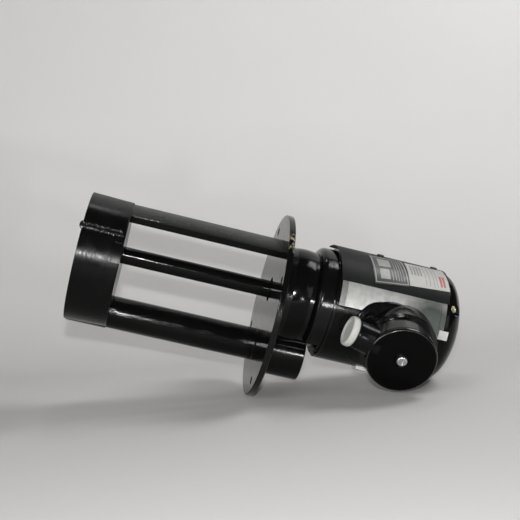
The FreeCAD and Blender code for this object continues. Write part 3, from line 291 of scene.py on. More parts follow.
def enamel(name, colour, roughness, peel, spread=0.06, ior=1.34, brushed=(1.0, 1.0, 1.0), chips=None,
           dust=None):
    """Enamel: runs and orange peel stretched the way it was brushed, with chips, or dust with a painted
    sheen, where asked.
    """
    material, tree, shader, where = blank_material(name)
    stroke = node(tree, "ShaderNodeVectorMath", {"operation": "MULTIPLY"}, i0=where, i1=brushed).outputs[0]
    broad = noise(tree, where, 38.0, 3.0)
    tone = mapped(tree, broad, 0.3, 0.7, 0.0, 1.0)
    coat = mixed(tree, tone, shade(colour, 0.8), shade(colour, 1.35))
    patches = noise(tree, where, 120.0, 4.0)
    gloss = mapped(tree, patches, 0.3, 0.7, roughness - spread / 2, roughness + spread)
    fine = noise(tree, stroke, 480.0, 2.0)
    runs = noise(tree, stroke, 90.0, 2.0)
    height = sums(tree, "MULTIPLY_ADD", runs, 1.6, fine)
    # Dust with a painted sheen: the upper wall is painted lighter where the light falls on it.
    if dust:
        dust_and_sheen_share = dust(tree, where)
        coat = mixed(tree, dust_and_sheen_share, coat, DUST_AND_SHEEN_COLOUR)
        gloss = sums(tree, "MULTIPLY_ADD", dust_and_sheen_share, 0.22, gloss)
    if chips:
        chip = chips(tree, where)
        coat = mixed(tree, chip, coat, BARE_METAL)
        gloss = sums(tree, "MULTIPLY_ADD", chip, 0.35, gloss)
        height = sums(tree, "MULTIPLY_ADD", chip, -2.0, height)
    tree.links.new(coat, shader.inputs["Base Color"])
    tree.links.new(gloss, shader.inputs["Roughness"])
    shader.inputs["IOR"].default_value = ior
    bumped(tree, shader, height, peel, 0.00025)
    return material


def rim_chips(tree, where):
    """Share of bare metal: specks near the mounting flange's outer edge, about a bearing of 201 degrees."""
    split = node(tree, "ShaderNodeSeparateXYZ", Vector=where)
    x, y = split.outputs["X"], split.outputs["Y"]
    near_edge = mapped(tree, radius_about(tree, x, y), FLANGE_R - 1.5 * MM, FLANGE_R - 0.2 * MM, 0.0, 0.22)
    aside = sums(tree, "ADD", sums(tree, "ARCTAN2", y, x), math.radians(360 - 201))
    worn = mapped(tree, sums(tree, "ABSOLUTE", aside), 0.10, 0.22, 0.16, -0.1, "SMOOTHSTEP")
    speck = noise(tree, where, 330.0, 5.0, 0.7)
    total = sums(tree, "ADD", sums(tree, "ADD", speck, near_edge), worn)
    low = mapped(tree, split.outputs["Z"], FLANGE_TOP_Z + 0.1 * MM, FLANGE_TOP_Z + 0.6 * MM, 1.0, 0.0)
    return sums(tree, "MULTIPLY", mapped(tree, total, 0.90, 0.93, 0.0, 1.0), low)


def top_dust_and_sheen(tree, where):
    """Share of dust and painted sheen on the outer wall of the casing and its leg: a lighter coat for the
    overhead light's sheen, full on top, thin lower, none below.
    """
    split = node(tree, "ShaderNodeSeparateXYZ", Vector=where)
    x, y = sums(tree, "ADD", split.outputs["X"], -CASING_X), split.outputs["Y"]
    bearing = sums(tree, "ARCTAN2", sums(tree, "MULTIPLY", y, -1.0), sums(tree, "MULTIPLY", x, -1.0))
    aside = sums(tree, "ABSOLUTE", sums(tree, "ADD", bearing, math.radians(21)))
    patchy = sums(tree, "MULTIPLY_ADD", noise(tree, where, 70.0, 4.0), 0.16, aside)
    thin = mapped(tree, patchy, 0.22, 0.66, 1.0, 0.16)
    edge = mapped(tree, patchy, 0.70, 0.78, 1.0, 0.0)
    wall = mapped(tree, radius_about(tree, x, y), CASING_R - 2.5 * MM, CASING_R - 1.9 * MM, 0.0, 1.0)
    return sums(tree, "MULTIPLY", sums(tree, "MULTIPLY", thin, edge), wall)


def galvanised(name, colour, roughness, stain_and_reflection_at=None):
    """Zinc spangle: small flat crystals, each with its own tone and gloss, and a dark patch round one point,
    partly stain and partly painted dark reflection.
    """
    material, tree, shader, where = blank_material(name)
    warp = node(tree, "ShaderNodeTexNoise", Vector=where, Scale=90.0, Detail=3.0)
    bent = node(tree, "ShaderNodeVectorMath", {"operation": "MULTIPLY_ADD"}, i0=warp.outputs["Color"],
                i1=(0.004, 0.004, 0.004), i2=where)
    crystal = node(tree, "ShaderNodeTexVoronoi", Vector=bent.outputs[0], Scale=300.0)
    tone = node(tree, "ShaderNodeSeparateXYZ", Vector=crystal.outputs["Color"])
    haze = noise(tree, where, 55.0, 5.0, 0.6)
    mix = sums(tree, "MULTIPLY_ADD", haze, 0.7, sums(tree, "MULTIPLY", tone.outputs["X"], 0.3))
    coat = mixed(tree, mapped(tree, mix, 0.3, 0.75, 0.0, 1.0), shade(colour, 0.86), shade(colour, 1.10))
    # Dark patch round one point: partly stain, partly painted dark reflection.
    if stain_and_reflection_at:
        gap = node(tree, "ShaderNodeVectorMath", {"operation": "DISTANCE"}, i0=bent.outputs[0], i1=stain_and_reflection_at)
        ragged = sums(tree, "MULTIPLY_ADD", haze, 0.012, gap.outputs["Value"])
        coat = mixed(tree, mapped(tree, ragged, 17 * MM, 32 * MM, 0.92, 0.0), coat, STAIN_AND_REFLECTION_COLOUR)
    tree.links.new(coat, shader.inputs["Base Color"])
    tree.links.new(mapped(tree, tone.outputs["Y"], 0.0, 1.0, roughness - 0.06, roughness + 0.1),
                   shader.inputs["Roughness"])
    shader.inputs["Metallic"].default_value = 0.45
    bumped(tree, shader, mix, 0.06, 0.0003)
    return material


def plated(name, colour, roughness, metallic=1.0, grain=700.0, strength=0.08):
    """Plated or ground metal: fine grain in the gloss and a little staining."""
    material, tree, shader, where = blank_material(name)
    stain = mapped(tree, noise(tree, where, 160.0, 4.0, 0.6), 0.35, 0.7, 0.0, 1.0)
    fine = noise(tree, where, grain, 2.0)
    gloss = mapped(tree, fine, 0.3, 0.7, roughness - 0.05, roughness + 0.08)
    tree.links.new(mixed(tree, stain, shade(colour, 1.08), shade(colour, 0.72)), shader.inputs["Base Color"])
    tree.links.new(gloss, shader.inputs["Roughness"])
    shader.inputs["Metallic"].default_value = metallic
    bumped(tree, shader, fine, strength, 0.0002)
    return material


def ringed(name, colour, roughness, pitch):
    """Turned or stacked metal: fine lines at a pitch along the shaft."""
    material, tree, shader, where = blank_material(name)
    bands = {"wave_type": "BANDS", "bands_direction": "Z"}
    scale = WAVE_SCALE / pitch
    lines = node(tree, "ShaderNodeTexWave", bands, Vector=where, Scale=scale, Distortion=0.6, Detail=2.0)
    tone = lines.outputs["Fac"]
    tree.links.new(mixed(tree, tone, shade(colour, 0.8), shade(colour, 1.1)), shader.inputs["Base Color"])
    tree.links.new(mapped(tree, tone, 0.0, 1.0, roughness, roughness + 0.12), shader.inputs["Roughness"])
    shader.inputs["Metallic"].default_value = 0.9
    bumped(tree, shader, tone, 0.25, 0.0002)
    return material


def moulded(name, colour, roughness, grain=420.0, strength=0.12, subsurface=0.0, ior=1.45):
    """Moulded plastic or rubber: a fine matt grain, slight flow marks and handling dust."""
    material, tree, shader, where = blank_material(name)
    flow = mapped(tree, noise(tree, where, 70.0, 4.0, 0.6), 0.3, 0.7, 0.0, 1.0)
    fine = noise(tree, where, grain, 3.0)
    gloss = mapped(tree, fine, 0.3, 0.7, roughness - 0.06, roughness + 0.08)
    tree.links.new(mixed(tree, flow, shade(colour, 0.9), shade(colour, 1.06)), shader.inputs["Base Color"])
    tree.links.new(gloss, shader.inputs["Roughness"])
    shader.inputs["Subsurface Weight"].default_value = subsurface
    shader.inputs["Subsurface Scale"].default_value = 0.002
    shader.inputs["IOR"].default_value = ior
    bumped(tree, shader, fine, strength, 0.0002)
    return material


def printed(name, colour, roughness, wear):
    """Printed film or plate: even ink with faint fibres and rubbed spots."""
    material, tree, shader, where = blank_material(name)
    fibre = noise(tree, where, 900.0, 4.0, 0.7)
    rub = noise(tree, where, 130.0, 5.0, 0.65)
    spots = sums(tree, "MULTIPLY_ADD", rub, 0.7, sums(tree, "MULTIPLY", fibre, 0.3))
    tone = mapped(tree, spots, 0.35, 0.7, 0.0, 1.0)
    ink = mixed(tree, tone, shade(colour, 1.05), shade(colour, 1.0 - wear))
    tree.links.new(ink, shader.inputs["Base Color"])
    tree.links.new(mapped(tree, rub, 0.3, 0.7, roughness - 0.05, roughness + 0.1), shader.inputs["Roughness"])
    bumped(tree, shader, fibre, 0.05, 0.0001)
    return material


def wound(name, colour):
    """Coil of enamelled wire: strands side by side round the shaft, bent a little by a coarse noise."""
    material, tree, shader, where = blank_material(name)
    rings = {"wave_type": "RINGS", "rings_direction": "Z"}
    strands = node(tree, "ShaderNodeTexWave", rings, Vector=where, Scale=420.0, Distortion=3.0, Detail=2.0,
                   Detail_Scale=2.0)
    tone = strands.outputs["Fac"]
    tree.links.new(mixed(tree, tone, shade(colour, 0.55), shade(colour, 1.2)), shader.inputs["Base Color"])
    tree.links.new(mapped(tree, tone, 0.0, 1.0, 0.45, 0.3), shader.inputs["Roughness"])
    shader.inputs["Metallic"].default_value = 0.6
    bumped(tree, shader, tone, 0.4, 0.0004)
    return material


def make_finishes(paints):
    """All the object's finishes by name."""
    black = tuple(paints.enamel)
    return {
        "gloss_black": enamel("brushed_black_enamel", black, paints.gloss + 0.09, 0.3, 0.08, 1.21,
                              brushed=(0.3, 0.3, 1.0), dust=top_dust_and_sheen),
        "bead_black": enamel("lumpy_black_enamel", black, paints.gloss + 0.05, 1.0, ior=1.95),
        "flange_black": enamel("chipped_black_enamel", black, paints.gloss, 0.22, chips=rim_chips),
        "motor_black": enamel("smooth_black_enamel", black, paints.gloss, 0.16, ior=1.23),
        "leg_black": enamel("dust_and_sheen_black_enamel", black, paints.gloss + 0.04, 0.2, ior=1.26, dust=top_dust_and_sheen),
        "riser_black": enamel("dipped_black_enamel", black, paints.gloss - 0.01, 1.0, 0.08, 1.25,
                              brushed=(1.6, 1.6, 0.2)),
        "box_black": moulded("black_moulding", black, 0.14, 520.0, 0.04, ior=1.62),
        "saddle_black": moulded("black_saddle", black, 0.16, 520.0, 0.04, ior=1.25),
        "rim_black": moulded("worn_black_edge", black, 0.22, 520.0, 0.04, ior=1.6),
        "cover_black": moulded("black_cover", shade(black, 0.6), 0.14, 520.0, 0.04, ior=1.16),
        "sheet_grey": enamel("satin_grey_paint", tuple(paints.sheet), 0.45, 0.14, ior=1.22),
        "galvanised": galvanised("galvanised_sheet", tuple(paints.zinc), 0.42, (-0.0380, -0.0400, 0.126)),
        # The hem takes a copy of the galvanised finish at half brightness, darker than the plate.
        "darker_zinc": galvanised("darker_galvanised_hem", shade(paints.zinc, 0.5), 0.40),
        "zinc_screw": plated("bright_zinc_plate", (0.62, 0.63, 0.64), 0.3),
        "dark_screw": plated("blackened_screw", (0.05, 0.05, 0.05), 0.35),
        "clip_zinc": plated("clean_zinc_plate", (0.56, 0.57, 0.555), 0.42, 0.6),
        "tab_zinc": plated("bright_tab_zinc", (0.86, 0.86, 0.84), 0.5, 0.1),
        "yellow_zinc": plated("yellow_zinc_plate", (0.60, 0.54, 0.36), 0.28),
        "brass": plated("cast_brass", (0.62, 0.47, 0.20), 0.35),
        "bearing_steel": ringed("ground_bearing_steel", (0.62, 0.62, 0.63), 0.18, 0.0004),
        "bronze": ringed("turned_bronze", (0.52, 0.36, 0.17), 0.3, 0.0005),
        "core_steel": ringed("stacked_core_sheets", (0.34, 0.34, 0.36), 0.42, 0.0005),
        "cast_aluminium": plated("cast_aluminium", (0.70, 0.71, 0.72), 0.45, 1.0, 320.0, 0.25),
        "enamelled_copper": wound("enamelled_copper_wire", (0.50, 0.19, 0.08)),
        "rubber": moulded("nitrile_rubber", (0.018, 0.018, 0.018), 0.62, 500.0, 0.2),
        "plate_black": printed("black_name_plate", (0.030, 0.032, 0.030), 0.38, 0.25),
        "plate_line": printed("bare_plate_lines", (0.30, 0.30, 0.285), 0.42, 0.30),
        "label_white": printed("white_film", tuple(paints.label), 0.5, 0.06),
        "label_grey": printed("grey_print", (0.24, 0.24, 0.235), 0.5, 0.12),
        "label_red": printed("dull_red_print", (0.40, 0.10, 0.10), 0.5, 0.2),
        "block_plastic": moulded("phenolic_moulding", (0.045, 0.045, 0.05), 0.4),
        "wire_sleeve": moulded("wire_sleeve", (0.42, 0.04, 0.03), 0.45, 600.0, 0.05),
        "gland_black": moulded("black_nylon", (0.004, 0.004, 0.004), 0.20, 420.0, 0.05, ior=1.24),
        "plug_white": moulded("white_polyethylene", tuple(paints.plug), 0.36, 380.0, 0.08, 0.12),
    }


FINISHES = {}


def finish(name):
    """One of the finishes, all of which are made when the first is asked for."""
    if not FINISHES:
        FINISHES.update(make_finishes(bpy.context.scene.pump_paints))
    return FINISHES[name]


SLOT_OF = {s["node"]: s["material_slot"] for s in FRAME["record"]["subparts"]}
FINISH_FOR_SLOT = {"black_steel": "motor_black"}
FINISH_FOR_NODE = {
    "flange_casting": "flange_black",
    "support_leg": "leg_black",
    "riser_pipe": "riser_black",
    "terminal_box_cover": "cover_black",
    "terminal_box_base": "box_black",
    "side_plate_clip": "clip_zinc",
    "lower_tab": "tab_zinc",
    "top_sheet_screws": "dark_screw",
}


# Settings


def colour_setting(label, text, value):
    """A colour without transparency."""
    return bpy.props.FloatVectorProperty(name=label, description=text, default=tuple(value) + (1.0,),
                                         subtype="COLOR", size=4, min=0, max=1)


def length_setting(label, text, value):
    """A length in metres."""
    return bpy.props.FloatProperty(name=label, description=text, default=value,
                                   subtype="DISTANCE", unit="LENGTH")


def angle_setting(label, text, degrees):
    """An angle, given here in degrees."""
    return bpy.props.FloatProperty(name=label, description=text, default=math.radians(degrees),
                                   subtype="ANGLE", unit="ROTATION")


def share_setting(label, text, value):
    """A number from 0 to 1."""
    return bpy.props.FloatProperty(name=label, description=text, default=value, subtype="FACTOR", min=0,
                                   max=1)


class PumpPaints(bpy.types.PropertyGroup):
    enamel: colour_setting("Enamel", "Colour of the black enamel", (0.0026, 0.0029, 0.0026))
    sheet: colour_setting("Top sheet", "Colour of the sheet on the motor", (0.0085, 0.0095, 0.009))
    zinc: colour_setting("Zinc", "Colour of the galvanised plate", (0.50, 0.50, 0.485))
    label: colour_setting("Label", "Colour of the blank label", (0.44, 0.435, 0.415))
    plug: colour_setting("Plug", "Colour of the plug in the cable entry", (0.50, 0.50, 0.47))
    gloss: share_setting("Roughness", "Roughness of the enamel", 0.12)


class PumpCasing(bpy.types.PropertyGroup):
    bead_angle: angle_setting("Bead angle", "Place of the bead round the casing", 217.0)
    bead_width: length_setting("Bead width", "Half width of the bead on the casing", 2.3 * MM)
    bead_nub: length_setting("Bead nub", "How far the bead's end stands past the rim", 2.2 * MM)
    neck_band: length_setting("Neck band", "Height of the raised band on the casting's neck", 0.7 * MM)
    fillet: length_setting("Paint fillet", "Size of the paint fillets at the ends of the pipes", 1.0 * MM)
    run_angle: angle_setting("Paint run angle", "Place of the run of paint on the leg's edge", 192.4)
    run_width: length_setting("Paint run width", "Half width of the run of paint on the leg's edge", 0.8 * MM)


class PumpMotor(bpy.types.PropertyGroup):
    plate_angle: angle_setting("Plate angle", "Middle of the name plate round the motor", 192.0)
    plate_skew: angle_setting("Plate skew", "Tilt of the name plate", 8.0)
    label_angle: angle_setting("Label angle", "Middle of the label round the motor", 188.0)
    label_skew: angle_setting("Label skew", "Tilt of the label", 5.0)
    sheet_start: angle_setting("Side plate start", "Upper edge of the galvanised plate", 196.2)
    sheet_end: angle_setting("Side plate end", "Lower edge of the galvanised plate", 243.2)
    sheet_corner: angle_setting("Side plate corner", "Reach of the plate's lower corner past its edge", 11.3)


class PumpBox(bpy.types.PropertyGroup):
    bead: length_setting("Cover bead", "Height of the bead round the cover", 0.5 * MM)
    dish: length_setting("Cover dish", "Depth of the cover's middle", 0.4 * MM)


class PumpStudio(bpy.types.PropertyGroup):
    floor: colour_setting("Floor", "Colour of the floor and backdrop", (0.80, 0.79, 0.78))
    world: share_setting("Surroundings", "Brightness of the surroundings", 0.05)
    lens: bpy.props.FloatProperty(name="Lens", description="Focal length of the camera in millimetres",
                                  default=65.769, unit="CAMERA", min=10, max=300)


# Operators


class PaintParts(bpy.types.Operator):
    """Gives every CAD part the finish of its material"""

    bl_idname = "pump.paint_parts"
    bl_label = "Paint the parts"

    def execute(self, context):
        for name, obj in NODES.items():
            slot = SLOT_OF[name]
            wanted = FINISH_FOR_NODE.get(name, FINISH_FOR_SLOT.get(slot, slot))
            if not obj.material_slots:
                obj.data.materials.append(None)
            for place in obj.material_slots:
                place.material = finish(wanted)
            smooth_cad(obj)
        return {"FINISHED"}


def smooth_cad(obj):
    """Shades a CAD part round its curves: its triangles are welded and split again at sharp edges."""
    if obj.data.has_custom_normals:
        return
    for face in obj.data.polygons:
        face.use_smooth = True
    weld = obj.modifiers.new("weld", "WELD")
    weld.merge_threshold = 1e-6
    split = obj.modifiers.new("sharp edges", "EDGE_SPLIT")
    split.split_angle = math.radians(32)


# How far a run of paint is sunk in the wall under it, and the bead's widest place against its usual one.
SUNK = 0.2 * MM
BEAD_LIMIT = 1.15


class CasingBead(bpy.types.Operator):
    """Lays the uneven bead with its nub down the suction casing, and the welt round the notch"""

    bl_idname = "pump.casing_bead"
    bl_label = "Casing bead"

    def execute(self, context):
        settings = context.scene.pump_casing
        full, nub_length = settings.bead_width, settings.bead_nub
        low = CASING_LOW_Z
        high = CASING_TOP_Z - 2.5 * MM
        z = np.concatenate([np.linspace(low - nub_length, low, 12)[:-1], np.linspace(low, high, 200)])
        t = (z - low) / (high - low)
        lumps = 0.07 * np.sin(41 * t + 1) + 0.15 * np.sin(97 * t) + 0.13 * np.sin(151 * t + 2)
        width = full * (0.92 + lumps) * np.sqrt(np.clip((1.0 - t) / 0.04, 0, 1))
        nub = np.sqrt(np.clip(1 - ((z - low + SUNK) / (nub_length - SUNK)) ** 2, 0, 1))
        width = np.clip(np.where(z < low, BEAD_LIMIT * full * nub, width), 1e-5, BEAD_LIMIT * full)
        wall = CASING_R - (CASING_R - CASING_RIM_R) * np.clip(t, 0, 1)
        sway = 0.2 * MM * np.sin(19 * t) + 0.12 * MM * np.sin(57 * t)
        points, faces = wall_run(settings.bead_angle, z, wall - SUNK, 1.3 * width, 0.62 * width, sway, 20)
        mesh_object("casing_bead", points, faces, finish("bead_black"), slot="gloss_black")
        notch_welt()
        return {"FINISHED"}


def wall_run(bearing, z, radius, across, out, sway, steps):
    """Run of paint up the casing's wall: at each height an ellipse, across along the wall and out from it."""
    turn = np.linspace(0, 2 * np.pi, steps, endpoint=False)
    along = np.cos(turn) * across[:, None] + sway[:, None]
    reach = radius[:, None] + np.sin(turn) * out[:, None]
    x = CASING_X + reach * math.cos(bearing) - along * math.sin(bearing)
    y = reach * math.sin(bearing) + along * math.cos(bearing)
    points, faces = capped_tube(np.stack([x, y, np.broadcast_to(z[:, None], x.shape)], axis=-1))
    return points, outward(points, faces)


def notch_welt():
    """Raised edge of paint on three sides of the shallow notch at the casing's rim."""
    inner, outer = CASING_RIM_R - 0.3 * MM, CASING_RIM_R + 0.6 * MM
    floor, width = CASING_TOP_Z - 7.65 * MM, 0.75 * MM
    long_z = np.linspace(floor - width, floor, 3)
    short_z = np.linspace(floor, CASING_TOP_Z - 1.2 * MM, 12)
    sides = [(224.4, 243.4, long_z), (224.4, 225.1, short_z), (242.6, 243.4, short_z)]
    parts = [curved_panel(*np.radians([first, last]), z, inner, outer, CASING_X) for first, last, z in sides]
    mesh_object("notch_welt", *joined(parts), finish("saddle_black"), slot="gloss_black")


def capped_tube(rings):
    """Tube through rings of points, whose first and last rings are drawn in to their middles."""
    first, last = (np.broadcast_to(rings[k].mean(0), rings[k].shape) for k in (0, -1))
    rings = np.concatenate([first[None], rings, last[None]])
    return rings.reshape(-1, 3), grid_faces(*rings.shape[:2], wrap_columns=True)


class PipeFillets(bpy.types.Operator):
    """Adds the paint fillets where the riser and the boss meet the castings, and the run on the leg"""

    bl_idname = "pump.pipe_fillets"
    bl_label = "Paint fillets"

    def execute(self, context):
        settings = context.scene.pump_casing
        riser_low, riser_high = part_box("riser_pipe")
        riser_x = (riser_low.x + riser_high.x) / 2
        riser_r = (riser_high.y - riser_low.y) / 2
        flange_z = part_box("flange_casting")[0].z
        parts = [fillet_ring(riser_x, riser_r, flange_z, -1, settings.fillet),
                 fillet_ring(riser_x, BOSS_R, FLANGE_TOP_Z, 1, settings.fillet)]
        mesh_object("paint_fillets", *joined(parts), finish("gloss_black"), slot="gloss_black")
        leg_run(settings.run_angle, settings.run_width)
        return {"FINISHED"}


def leg_run(bearing, full):
    """Run of thick paint down the leg's edge, round in section and drawn out thin away from the casing."""
    start, length = CASING_TOP_Z + 1.0 * MM, 36.0 * MM
    t = np.linspace(0, 1, 60)
    z = start + length * t
    width = full * np.sqrt(1.0 - 0.97 * t) * (0.9 + 0.12 * np.sin(47 * t)) * np.clip(t / 0.03 + 0.1, 0, 1)
    edge = np.full(len(t), CASING_R - 1.8 * MM)
    points, faces = wall_run(bearing, z, edge, width, width, 0 * t, 14)
    mesh_object("leg_paint_run", points, faces, finish("bead_black"), slot="gloss_black")


def fillet_ring(x, r, z, side, size):
    """Concave ring: radius r + s (1 - sin t), height z + side s (1 - cos t), closed under the surfaces."""
    t = np.linspace(0, np.pi / 2, 7)
    rise = size * (1 - np.cos(t))
    radius = np.concatenate([r + size * (1 - np.sin(t)), [r - SUNK, r - SUNK, r + size]])
    height = z + side * np.concatenate([rise, [size, -SUNK, -SUNK]])
    return turned_ring(np.stack([radius, height], axis=1), 72, x)


def turned_ring(profile, steps, x):
    """Closed profile carried round an upright line at x."""
    grid = turned_points(profile, steps)
    faces = outward(grid, grid_faces(len(profile), steps, wrap_rows=True, wrap_columns=True))
    return grid.reshape(-1, 3) + np.array([x, 0, 0]), faces


class BoxCover(bpy.types.Operator):
    """Makes the terminal box's cover with its rim bead and shallow dish"""

    bl_idname = "pump.box_cover"
    bl_label = "Terminal box cover"

    def execute(self, context):
        settings = context.scene.pump_box
        low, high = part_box("terminal_box_cover")
        r = (high.x - low.x) / 2
        top, dish = high.y - low.y, settings.dish
        cavity_r, cavity_top = 23.5 * MM, 1.8 * MM
        profile = [
            (0, top - 1.0 * MM), (5.9 * MM, top - 1.0 * MM), (6.3 * MM, top - dish),
            (r - 3.4 * MM, top - dish * 0.6), (r - 2.9 * MM, top - dish * 0.3),
            (r - 2.2 * MM, top - settings.bead * 0.1), (r - 1.2 * MM, top), (r - 0.3 * MM, top - 0.9 * MM),
            (r, top - 1.9 * MM), (r - 0.15 * MM, top - 2.4 * MM), (r - 0.05 * MM, 0.6 * MM),
            (r - 0.6 * MM, 0), (cavity_r, 0), (cavity_r, cavity_top), (2.4 * MM, cavity_top), (0, cavity_top),
        ]
        back = (SHAFT_X, high.y, BOX_Z)
        cover = turned_object("box_cover", rounded(profile, 0.5 * MM, 4), back, (0, -1, 0),
                              finish("cover_black"), 144, slot="motor_black")
        paint_edge(cover, r - 1.3 * MM, low.y + 2.6 * MM)
        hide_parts("terminal_box_cover")
        return {"FINISHED"}


def paint_edge(cover, radius, depth):
    """Gives the faces outside a radius and in front of a depth the finish of a rubbed edge."""
    cover.data.materials.append(finish("rim_black"))
    centres = np.empty(3 * len(cover.data.polygons))
    cover.data.polygons.foreach_get("center", centres)
    x, y, z = centres.reshape(-1, 3).T
    edge = (np.hypot(x - SHAFT_X, z - BOX_Z) > radius) & (y < depth)
    cover.data.polygons.foreach_set("material_index", edge.astype(int))


PLUG_HEAD = 6.0 * MM


class EntryPlug(bpy.types.Operator):
    """Makes the blind plug of the cable entry with its dished face"""

    bl_idname = "pump.entry_plug"
    bl_label = "Cable entry plug"

    def execute(self, context):
        middle = Vector((SHAFT_X, box_middle("gland_plug").y, BOX_Z))
        along = entry_direction()
        reach = np.array([v.co for v in NODES["gland_plug"].data.vertices]) - np.array(middle)
        start = float((reach @ np.array(along)).max()) - PLUG_HEAD
        profile = np.array([(0, 4.7), (8.6, 4.8), (9.4, 5.7), (10.4, 6.0), (11.6, 5.5), (12.0, 4.4),
                            (11.9, 1.4), (11.3, 0.3), (10.2, 0), (4.3, 0), (4.3, -7.0), (0, -7.0)]) * MM
        plug = turned_object("entry_plug", rounded(profile, 0.6 * MM, 4), middle + along * start, along,
                             finish("plug_white"), slot="plug_white")
        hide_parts("gland_plug")
        return {"FINISHED"}


def entry_direction():
    """Direction in which the cable entry leaves the terminal box."""
    return Vector((-math.sin(ENTRY_TILT), 0, -math.cos(ENTRY_TILT)))


def box_middle(name):
    """Middle of a CAD part's box."""
    low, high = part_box(name)
    return (low + high) / 2


class NeckBand(bpy.types.Operator):
    """Swells the flange casting's neck by a smooth raised band"""

    bl_idname = "pump.neck_band"
    bl_label = "Neck band"

    def execute(self, context):
        height = context.scene.pump_casing.neck_band
        inner = NECK_R - 1.25 * MM
        middle, half = 21.0 * MM, 7.5 * MM
        t = np.linspace(-1, 1, 25)
        z = middle + half * t
        swell = np.stack([NECK_R + height * (1 - t ** 2), z], axis=1)
        ring = turned_ring(np.concatenate([swell, [(inner, z[-1]), (inner, z[0])]]), 160, SHAFT_X)
        mesh_object("neck_band", *ring, finish("motor_black"), slot="motor_black")
        return {"FINISHED"}


class SideSheet(bpy.types.Operator):
    """Makes the galvanised side plate with its long lower corner and its two hems"""

    bl_idname = "pump.side_sheet"
    bl_label = "Galvanised side plate"

    def execute(self, context):
        settings = context.scene.pump_motor
        start, end = settings.sheet_start, settings.sheet_end
        low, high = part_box("side_plate")
        inner, thick, fold_gap = SHELL_R + 0.06 * MM, 0.55 * MM, 0.57 * MM
        corner_z, corner_rise = 104 * MM, 12 * MM
        z = np.linspace(low.z, high.z - 3.2 * MM, 90)
        lower = end + settings.sheet_corner * np.clip((z - corner_z) / corner_rise, 0, 1)
        sheet = curved_panel(start, lower, z, inner, inner + thick)
        plate = mesh_object("side_sheet", *sheet, finish("galvanised"), slot="galvanised")
        folded = inner + fold_gap
        strips = [("side_sheet_hem", "darker_zinc", low.z, low.z + 4.6 * MM, 0.2),
                  ("side_sheet_fold", "galvanised", high.z - 4.0 * MM, high.z, 1.8)]
        for name, zinc, bottom, top, past in strips:
            z = np.linspace(bottom, top, 6)
            strip = curved_panel(start, end + math.radians(past), z, folded, folded + thick)
            mesh_object(name, *strip, finish(zinc), slot="galvanised")
        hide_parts("side_plate")
        return {"FINISHED"}


def curved_panel(first, last, z, inner, outer, centre=SHAFT_X):
    """Panel bent round an upright line, from angle first to last, which may change with the height."""
    last = np.broadcast_to(last, z.shape)[:, None]
    angle = first + (last - first) * np.linspace(0, 1, 60)
    height = np.broadcast_to(z[:, None], angle.shape)
    bend = np.stack([np.cos(angle), np.sin(angle), 0 * angle], axis=-1)
    line = np.stack([centre + 0 * angle, 0 * angle, height], axis=-1)
    points, faces = slab(line + outer * bend, line + inner * bend)
    return points, outward(points, faces)


FOOT_MIDDLE_Z = 97.0 * MM
# One side of the foot's outline from its lower end to its upper end: millimetres aside and up.
FOOT_SIDE = [(0.0, 62.5), (12.0, 63.6), (20.7, 67.4), (24.9, 71.2), (27.5, 75.5), (29.0, 82.4), (30.4, 90.0),
             (30.5, 96.5), (29.0, 103.8), (24.6, 115.3), (20.8, 120.8), (13.5, 128.0), (0.0, 131.0)]


class BoxSaddle(bpy.types.Operator):
    """Makes the low foot on which the terminal box stands, and the sleeve of its cable entry"""

    bl_idname = "pump.box_saddle"
    bl_label = "Terminal box foot"

    def execute(self, context):
        turn = np.linspace(-np.pi, np.pi, 160, endpoint=False)
        reach = foot_reach(turn)
        inner, outer = SHELL_R + 0.02 * MM, SHELL_R + 2.2 * MM
        # Each row holds a share of the outline's reach, a distance inside it and a radius about the shaft.
        corner = [(0.9 * MM, outer), (0.25 * MM, outer - 0.25 * MM), (0.0, outer - 0.9 * MM), (0.0, inner)]
        rows = [(0.5, 0.0, outer), *((1.0, *place) for place in corner), (0.5, 0.0, inner)]
        share, inset, radius = (np.array(column)[:, None] for column in zip(*rows))
        r = reach * share - inset
        aside, z = r * np.cos(turn), FOOT_MIDDLE_Z + r * np.sin(turn)
        grid = np.stack([SHAFT_X - aside, -np.sqrt(radius ** 2 - aside ** 2), z], axis=-1)
        faces = outward(grid, grid_faces(len(rows), len(turn), wrap_rows=True, wrap_columns=True))
        mesh_object("box_saddle", grid, faces, finish("saddle_black"), slot="motor_black")
        entry_sleeve()
        return {"FINISHED"}


def foot_reach(turn):
    """Distance from the foot's middle to its outline in each direction, straight between its points."""
    side = np.array(FOOT_SIDE) * MM
    outline = np.concatenate([side, side[-2:0:-1] * (-1, 1)]) - (0.0, FOOT_MIDDLE_Z)
    around = np.arctan2(outline[:, 1], outline[:, 0])
    order = np.argsort(around)
    return np.interp(turn, around[order], np.hypot(*outline.T)[order], period=2 * np.pi)


def entry_sleeve():
    """Sleeve round the cable entry, a little thicker towards the box."""
    profile = [(10.05, 20.0), (11.9, 20.0), (11.5, 30.0), (11.2, 38.6), (10.9, 39.3), (10.05, 39.4)]
    points, faces = turned_ring(np.array(profile) * MM, 96, 0.0)
    points = on_axis(points, (SHAFT_X, box_middle("gland_plug").y, BOX_Z), entry_direction())
    mesh_object("entry_sleeve", points, faces, finish("gland_black"), slot="gland_black")


def wrapped(across, along, lift, angle, z, skew):
    """Plate coordinates laid on the top sheet: across becomes the angle, across / R, and along becomes z."""
    turned_across = across * math.cos(skew) - along * math.sin(skew)
    turned_along = across * math.sin(skew) + along * math.cos(skew)
    r = SHEET_R + lift
    a = angle + turned_across / SHEET_R
    return np.stack([SHAFT_X + r * np.cos(a), r * np.sin(a), z + turned_along], axis=-1)


